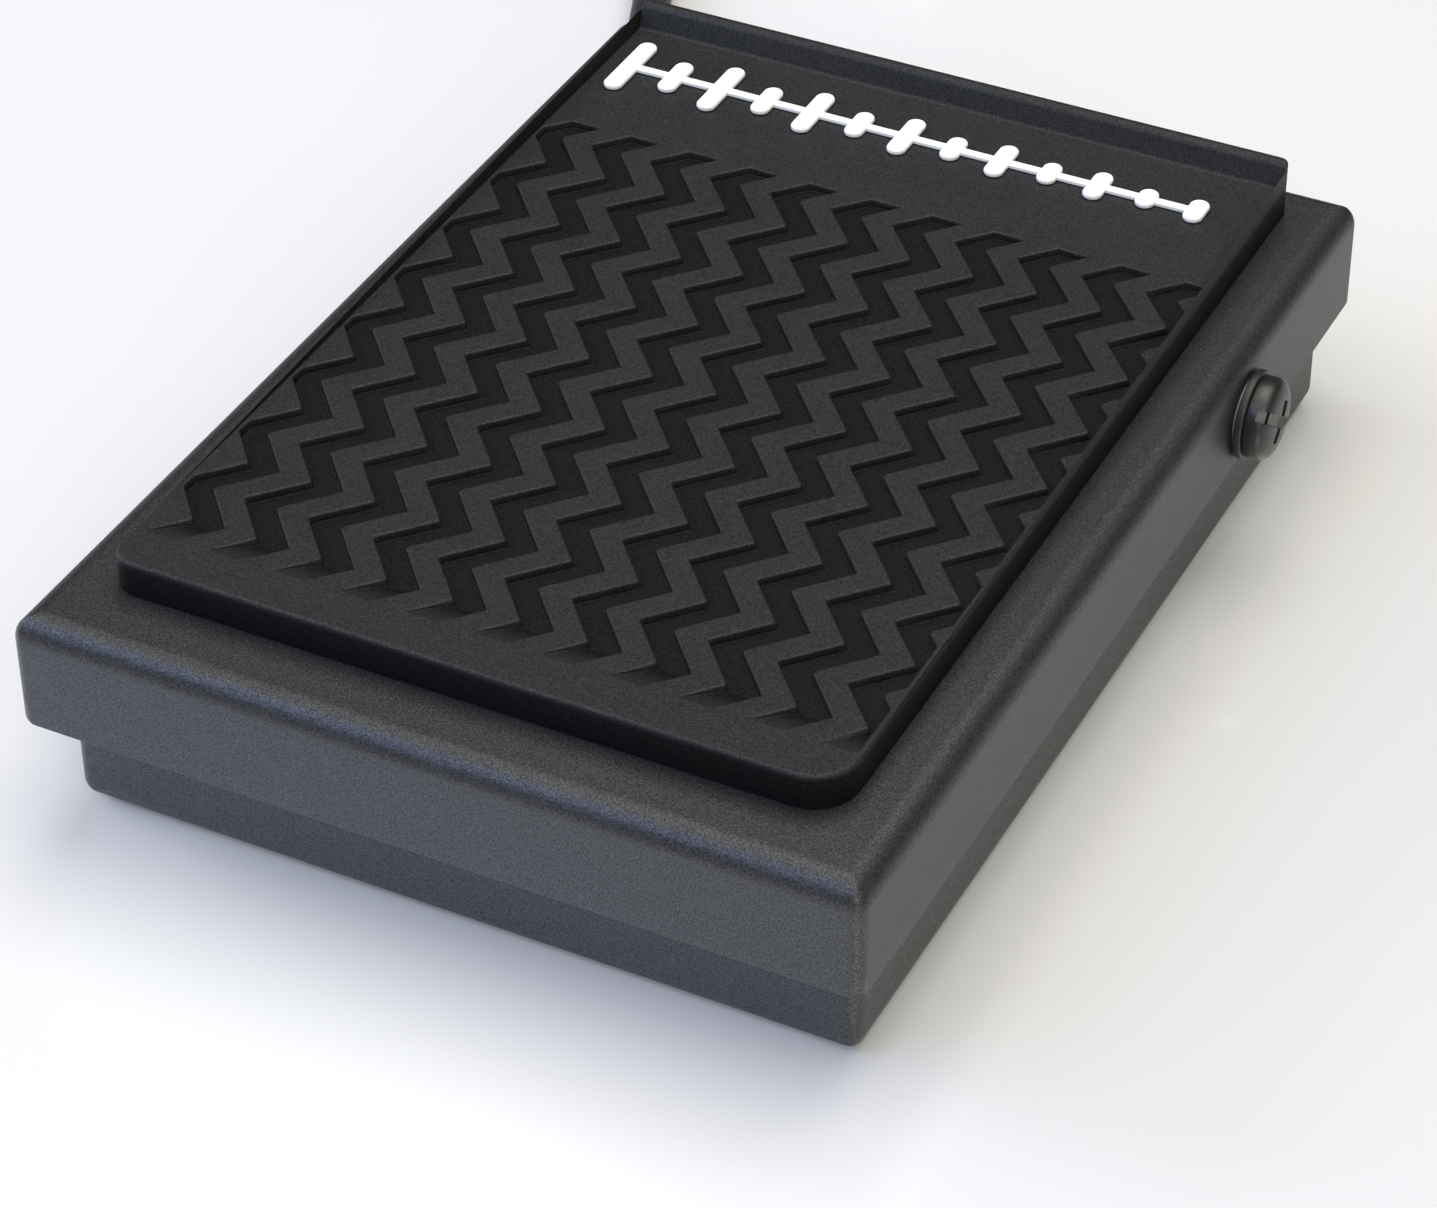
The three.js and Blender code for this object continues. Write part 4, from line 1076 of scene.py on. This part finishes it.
for (x, y), end in zip(BRACKET_SCREWS, ("rear", "front")):
    to = at(x, y)
    slotted(
        "base_screw_" + end, "base", ["bracket_screw_" + end],
        [(0, 0.85), (1.25, 0.85), (1.45, 1.05), (1.45, 3.25), (2.75, 3.25), (2.8, 3.35), (2.8, 4.0), (2.6, 4.5), (2.2, 4.8), (1.4, 4.95), (0, 5.0)],
        1.45, 0.5, 0.12, 1.05, 3.2, to, [mapped_box(to, -0.4, 0.4, -1.7, 1.7, 4.0, 6), mapped_box(to, -1.7, 1.7, -0.4, 0.4, 4.0, 6)], ZINC,
    )
SCREW_Z = 6.0
for y, end in zip((-20.45, -10.95), ("front", "rear")):
    to = (lambda y: lambda a, b, c: (c, y + b, SCREW_Z - a))(y)
    slotted(
        "case_screw_" + end, "base", ["switch_screw_" + end],
        [(0, 9.3), (1.0, 9.34), (1.6, 9.5), (1.9, 9.85), (1.9, 10.7), (1.85, 10.75), (0.95, 10.75), (0.95, 20.4), (0.8, 20.6), (0, 20.6)],
        0.95, 0.4, 0.1, 12.0, 20.4, to, [mapped_box(to, -0.3, 0.3, -2.5, 2.5, 8, 9.9)], ZINC,
    )
    hex_nut("case_nut_" + end, ["switch_nut_" + end], 4.0, 1.05, 1.5, (lambda y: lambda a, b, c: (18.55 + c, y + b, SCREW_Z + a))(y))

L_SHAPE = round_path([(17.3, FLOOR), (28, FLOOR), (28, 3.2), (18.5, 3.2), (18.5, 12), (17.3, 12)], [1.3, 0.15, 0.15, 0.3, 0.15, 0.15], 5)[0]
bracket = build(
    "switch_angle", prism(L_SHAPE, -24.5, -6.5, to=lambda x, y, z: (x, z, y), bevel=0.08),
    "base", ["switch_bracket"], ZINC, sharp=30,
)
boolean(
    bracket,
    [cutter(lathe([(0, 16), (1.15, 16), (1.15, 20), (0, 20)], 32, lambda a, b, c, y=y: (c, y + b, SCREW_Z + a))) for y in (-20.45, -10.95)]
    + [cutter(lathe([(0, 0), (1.7, 0), (1.7, 5), (0, 5)], 32, at(x, y))) for x, y in BRACKET_SCREWS],
)
resharpen(bracket, 30)

LEVER_Y, LEVER_Z, TILT = -8.0, 13.0, math.radians(-3.5 * 45.7 / 14)


def lever_to(x, y, z):
    # the outline is (y, z) before the tilt, the depth is x
    c, t = math.cos(TILT), math.sin(TILT)
    return (14 + z, LEVER_Y + x * c - y * t, LEVER_Z + x * t + y * c)


lever_outline = round_path(
    [(-15.6, -0.2), (-0.25, -0.2), (-0.25, -1.5), (0.25, -1.5), (0.25, -0.2), (0.8, -0.2), (0.8, 0.2), (-15.4, 0.2), (-15.9, 0.05)],
    [0.08, 0.06, 0.08, 0.08, 0.06, 0.06, 0.06, 0.06, 0.05], 3)[0]
build("switch_blade", prism(lever_outline, -2, 2, to=lever_to, bevel=0.05), "switch_lever", ["switch_lever"], SPRING_STRIP, sharp=40)
plunger_y = LEVER_Y - 5.2
build(
    "switch_button",
    prism(rounded_rect(plunger_y - 1.1, 8.0, plunger_y + 1.1, 13.5, (0.1, 0.1, 0.75, 0.75), 8), 13.2, 14.8, to=lambda x, y, z: (z, x, y), bevel=0.12),
    "switch_plunger", ["switch_plunger"], RED_PLASTIC,
)

# ------------------------------------------------------------------ lead and plug
RELIEF = [(2.1, 44.0), (3.1, 44.0), (3.1, 45.4), (2.8, 45.4), (2.8, 46.7), (3.8, 46.7), (3.8, 48.0), (3.2, 48.7), (3.15, 49.6)]
for k in range(4):  # flex grooves
    y = 49.9 + 1.75 * k
    r = 3.1 - 0.09 * k
    RELIEF += [(r, y), (r - 0.02, y + 0.95), (r - 0.45, y + 1.15), (r - 0.45, y + 1.55)]
RELIEF += [(2.72, 57.0), (2.66, 57.5), (2.1, 57.5)]
build("cord_grommet", lathe(profile(RELIEF, 0.09, 2), 56, about_y(CABLE_X, CABLE_Z)), "base", ["strain_relief"], CABLE_JACKET)
build("cord_clamp", lathe(profile([(2.0, 38.5), (2.9, 38.5), (2.9, 41.5), (2.0, 41.5)], 0.12), 48, about_y(CABLE_X, CABLE_Z)), "base", ["cable_crimp"], ZINC)
PLUG_Y, PLUG_Z, TIP_X = 112.0, 6.6, -30.0
boot = TIP_X - 59.5
CORD = [
    (CABLE_X, 34, CABLE_Z), (CABLE_X, 40, CABLE_Z), (CABLE_X, 47, CABLE_Z), (CABLE_X, 53, CABLE_Z), (CABLE_X, 58, CABLE_Z),
    (-16.2, 62.6, 4.5), (-22, 65.6, 3.3), (-30, 66.6, 2.4), (-37.5, 68.0, 2.0), (-44.6, 72.5, 2.0), (-47.7, 78.7, 2.0), (-50.8, 85.0, 2.0),
    (-59, 92.5, 2.0), (-72, 96.5, 2.0), (-84, 98, 2.2), (-93, 100.2, 3.2), (-97.5, 106, 5.0), (-96, 110.8, 6.3), (boot - 1, PLUG_Y, PLUG_Z), (boot + 4, PLUG_Y, PLUG_Z), (boot + 8.6, PLUG_Y, PLUG_Z),
]
build("cord", tube(catmull(CORD, 260), 1.9, 28), "base", ["cable"], CABLE_JACKET, weighted=False)
WIRES = {
    "core_red": [(CABLE_X - 0.8, 33.6, 5.6), (-13, 29, 6.2), (-4, 25.5, 6.6), (5, 29, 7.2), (11, 35.2, 7.2), (11, 36.7, 7.2)],
    "core_black": [(CABLE_X + 0.8, 33.6, 4.6), (-11.5, 29.5, 3.6), (-3, 27, 3.2), (5, 30.5, 3.6), (11, 35.2, 4.0), (11, 36.7, 4.0)],
    "lead_red": [(17, 36.7, 7.2), (17.2, 34.5, 7.2), (19.5, 24, 6.2), (18.5, 10, 5.6), (15, 3, 7.2), (14, 0.6, 7.5), (14, -0.8, 7.5)],
    "lead_black": [(17, 36.7, 4.0), (16.9, 34.5, 4.0), (15, 24, 3.2), (13.6, 10, 3.2), (13.4, 3, 4.2), (14, 0.6, 4.6), (14, -0.8, 4.6)],
}
for key, pts in WIRES.items():
    red = key.endswith("red")
    build("strand_" + key, tube(catmull(pts, 72), 0.55, 14, 0.08), "base", ["wire_" + key], WIRE_RED if red else WIRE_BLACK, weighted=False)


def plug_to(x, y, z):
    return (TIP_X + z, PLUG_Y + y, PLUG_Z + x)


BOOT = [(2.1, -59.5), (2.7, -59.5)]
for k in range(5):
    z = -58.6 + 1.55 * k
    r = 2.85 + 0.30 * k
    BOOT += [(r, z), (r + 0.10, z + 0.9), (r - 0.35, z + 1.05), (r - 0.30, z + 1.4)]
BOOT += [(4.35, -50.95), (4.3, -50.6), (2.1, -50.6)]
build("plug_flex_boot", lathe(profile(BOOT, 0.1, 2), 56, plug_to), "base", ["plug_boot"], PLUG_COVER)


def flutes(a, r, z):
    if -46.4 < z < -35.0:
        f = min(1.0, (z + 46.4) / 0.8, (-35.0 - z) / 0.8)
        return r - 0.32 * max(0.0, f) * (0.5 - 0.5 * math.cos(20 * a)) ** 2
    return r


BARREL = profile([(0, -50.5), (5.4, -50.5), (6.2, -49.6), (6.5, -48), (6.5, -33), (6.1, -31.2), (5.2, -30.5), (0, -30.5)], [0, 0.3, 0.5, 1.0, 1.0, 0.5, 0.4, 0], 5)
wide = []
for a, b in zip(BARREL, BARREL[1:] + BARREL[-1:]):
    wide.append(a)
    if abs(a[0] - 6.5) < 1e-3 and abs(b[0] - 6.5) < 1e-3:
        wide += [(6.5, a[1] + (b[1] - a[1]) * k / 40) for k in range(1, 40)]
build("plug_shell", lathe(wide, 160, plug_to, flutes), "base", ["plug_barrel"], PLUG_COVER)
build("plug_shaft", lathe(profile([(0, -30.45), (3.175, -30.45), (3.175, -10.2), (0, -10.2)], [0, 0.08, 0.15, 0]), 72, plug_to), "base", ["plug_sleeve"], NICKEL)
build("plug_ring", lathe(profile([(0, -10.15), (3.1, -10.15), (3.1, -9.25), (0, -9.25)], [0, 0.06, 0.06, 0]), 72, plug_to), "base", ["plug_insulator"], BLACK_PLASTIC)
build(
    "plug_point",
    lathe(profile([(0, -9.2), (3.1, -9.2), (3.175, -8.9), (3.175, -7.4), (2.35, -5.9), (2.35, -5.2), (3.15, -3.4), (3.0, -2.6), (1.2, -0.5), (0, 0)],
                  [0, 0.1, 0.1, 0.3, 0.5, 0.6, 0.6, 0.5, 0.9, 0], 6), 72, plug_to),
    "base", ["plug_tip"], NICKEL,
)

# ------------------------------------------------------------------ polarity switch at the rear
knob = build(
    "polarity_knob",
    box_bm(POL_X - 2, POL_X, 43, 47.9, POL_Z - 1, POL_Z + 1, bevel=0.14),
    "polarity_slider", ["polarity_slider"], SLIDER_PLASTIC, sharp=50,
)
boolean(knob, [cutter(box_bm(POL_X - 3.1, POL_X + 1.1, 41.4, 44.0, POL_Z - 2, POL_Z + 2, bevel=0.1))], "UNION")
boolean(knob, [cutter(box_bm(POL_X - 1.75 + 0.55 * k, POL_X - 1.5 + 0.55 * k, 47.65, 49, POL_Z - 2, POL_Z + 2, bevel=0)) for k in range(3)])
resharpen(knob, 50)
for d, side in ((-7.2, "left"), (7.2, "right")):
    to = about_y(POL_X + d, POL_Z)
    slotted(
        "rear_screw_" + side, "base", ["polarity_screw_" + side],
        [(0, 43.4), (0.8, 43.4), (0.95, 43.6), (0.95, 46.7), (1.85, 46.7), (1.9, 46.78), (1.9, 47.2), (1.75, 47.5), (1.35, 47.75), (0.8, 47.83), (0, 47.85)],
        0.95, 0.4, 0.1, 43.6, 46.6, to, [mapped_box(to, -0.3, 0.3, -1.2, 1.2, 47.2, 49), mapped_box(to, -1.2, 1.2, -0.3, 0.3, 47.2, 49)], BLACK_STEEL,
    )

# ------------------------------------------------------------------ CAD nodes that stay: welded, edges broken, finished
KEPT = {
    "microswitch_body": (BLACK_PLASTIC, 0.22), "polarity_switch_body": (BLACK_PLASTIC, 0.15),
    "switch_terminal_common": (BRASS, 0.06), "switch_terminal_closed": (BRASS, 0.06), "switch_terminal_open": (BRASS, 0.06),
    "polarity_pin_1": (BRASS, 0.05), "polarity_pin_2": (BRASS, 0.05), "polarity_pin_3": (BRASS, 0.05), "polarity_pin_4": (BRASS, 0.05),
}
for name, (material, width) in KEPT.items():
    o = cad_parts[name]
    o.data.materials.clear()
    o.data.materials.append(material)
    for p in o.data.polygons:
        p.material_index = 0
    weld = o.modifiers.new("weld", "WELD")
    weld.merge_threshold = 1e-6
    edge = o.modifiers.new("edge", "BEVEL")
    edge.width, edge.segments, edge.limit_method, edge.angle_limit = width * MM, 2, "ANGLE", math.radians(40)
    edge.harden_normals = False
    w = o.modifiers.new("weighted", "WEIGHTED_NORMAL")
    w.keep_sharp = True

# ------------------------------------------------------------------ floor, light, camera


def floor_material():
    """Pale glossy tabletop: a faint mirror of the pedal, crisp at the right and hazy at the front left."""
    m = Nodes("pale_gloss_floor")
    slow = m.noise(9, 3, 0.5)
    tone = m.mix(m.mapped(slow, 0.3, 0.7, 0.0, 1.0), (0.90, 0.90, 0.895), (0.92, 0.92, 0.92))
    across = m.separate()[0]
    m.set(color=tone, rough=m.mapped(across, 0.012, 0.045, 0.24, 0.05), spec=0.5, metal=0.22)
    return m.mat


bm = bmesh.new()
bmesh.ops.create_grid(bm, x_segments=8, y_segments=8, size=3.0)
mesh = bpy.data.meshes.new("studio_floor")
bm.to_mesh(mesh)
bm.free()
floor = bpy.data.objects.new("studio_floor", mesh)
floor.location.z = -0.0002
mesh.materials.append(floor_material())
scene.collection.objects.link(floor)

world = bpy.data.worlds.new("soft_room")
scene.world = world
world.use_nodes = True
wt = world.node_tree
wt.nodes.clear()
wo = wt.nodes.new("ShaderNodeOutputWorld")
wb = wt.nodes.new("ShaderNodeBackground")
wc = wt.nodes.new("ShaderNodeTexCoord")
wx = wt.nodes.new("ShaderNodeSeparateXYZ")
wr = wt.nodes.new("ShaderNodeValToRGB")
wt.links.new(wc.outputs["Generated"], wx.inputs[0])
wt.links.new(wx.outputs["Z"], wr.inputs[0])
# the room is dark on the side that the lid's flat top mirrors
wd = wt.nodes.new("ShaderNodeVectorMath")
wd.operation = "DOT_PRODUCT"
wd.inputs[1].default_value = (-0.356, 0.706, 0.613)
wm = wt.nodes.new("ShaderNodeMapRange")
wm.clamp = True
wm.inputs["From Min"].default_value = 0.58
wm.inputs["From Max"].default_value = 0.90
wm.inputs["To Min"].default_value = 1.0
wm.inputs["To Max"].default_value = 0.04
ws = wt.nodes.new("ShaderNodeVectorMath")
ws.operation = "SCALE"
wt.links.new(wc.outputs["Generated"], wd.inputs[0])
wt.links.new(wd.outputs["Value"], wm.inputs["Value"])
wt.links.new(wr.outputs[0], ws.inputs[0])
wt.links.new(wm.outputs["Result"], ws.inputs["Scale"])
wt.links.new(ws.outputs["Vector"], wb.inputs["Color"])
wt.links.new(wb.outputs[0], wo.inputs[0])
stops = [(0.0, (0, 0, 0)), (0.28, (0, 0, 0)), (0.60, (0.33, 0.325, 0.305)), (0.85, (1.02, 1.0, 0.93)), (1.0, (1.02, 1.0, 0.93))]
while len(wr.color_ramp.elements) < len(stops):
    wr.color_ramp.elements.new(0.5)
for e, (pos, col) in zip(wr.color_ramp.elements, stops):
    e.position = pos
    e.color = (*col, 1.0)
wb.inputs["Strength"].default_value = 1.25


def area(name, where, aim, size, power, color):
    data = bpy.data.lights.new(name, "AREA")
    data.shape = "RECTANGLE"
    data.size, data.size_y = size
    data.energy = power
    data.color = color
    o = bpy.data.objects.new(name, data)
    o.location = where
    o.rotation_euler = (Vector(aim) - Vector(where)).to_track_quat("-Z", "Y").to_euler()
    scene.collection.objects.link(o)
    return o


area("overhead", (0.02, 0.42, 1.28), (0.0, 0.10, 0), (1.0, 1.0), 10.5, (1.0, 0.965, 0.90))
area("front_right", (0.70, -0.90, 0.70), (0, 0, 0), (0.7, 0.6), 6.3, (1.0, 0.985, 0.94))
area("window_cool", (-0.60, -0.75, 0.85), (0, 0, 0), (0.75, 0.60), 5.2, (0.27, 0.46, 1.0))
area("side_left", (-1.20, -0.10, 0.60), (0, 0, 0), (0.7, 0.6), 7.6, (0.87, 0.89, 1.0))
area("side_right", (1.20, 0.10, 0.55), (0, 0, 0), (0.7, 0.5), 0.5, (1.0, 0.95, 0.88))

cam_data = bpy.data.cameras.new("camera")
cam = bpy.data.objects.new("camera", cam_data)
scene.collection.objects.link(cam)
cam_data.sensor_fit = "HORIZONTAL"
cam_data.sensor_width = 36.0
cam_data.lens = 111.145
cam_data.shift_x, cam_data.shift_y = -0.013281, -0.006837
cam_data.clip_start, cam_data.clip_end = 0.01, 20.0
turn = Matrix(((0.894732422, -0.270072107, 0.3556894), (0.446573782, 0.550082105, -0.705678067), (-0.005074411, 0.790234607, 0.612783417)))
cam.matrix_world = Matrix.Translation((0.12948253, -0.25506808, 0.22163243)) @ turn.to_4x4()
scene.camera = cam
scene.view_settings.view_transform = "Standard"
scene.view_settings.look = "None"
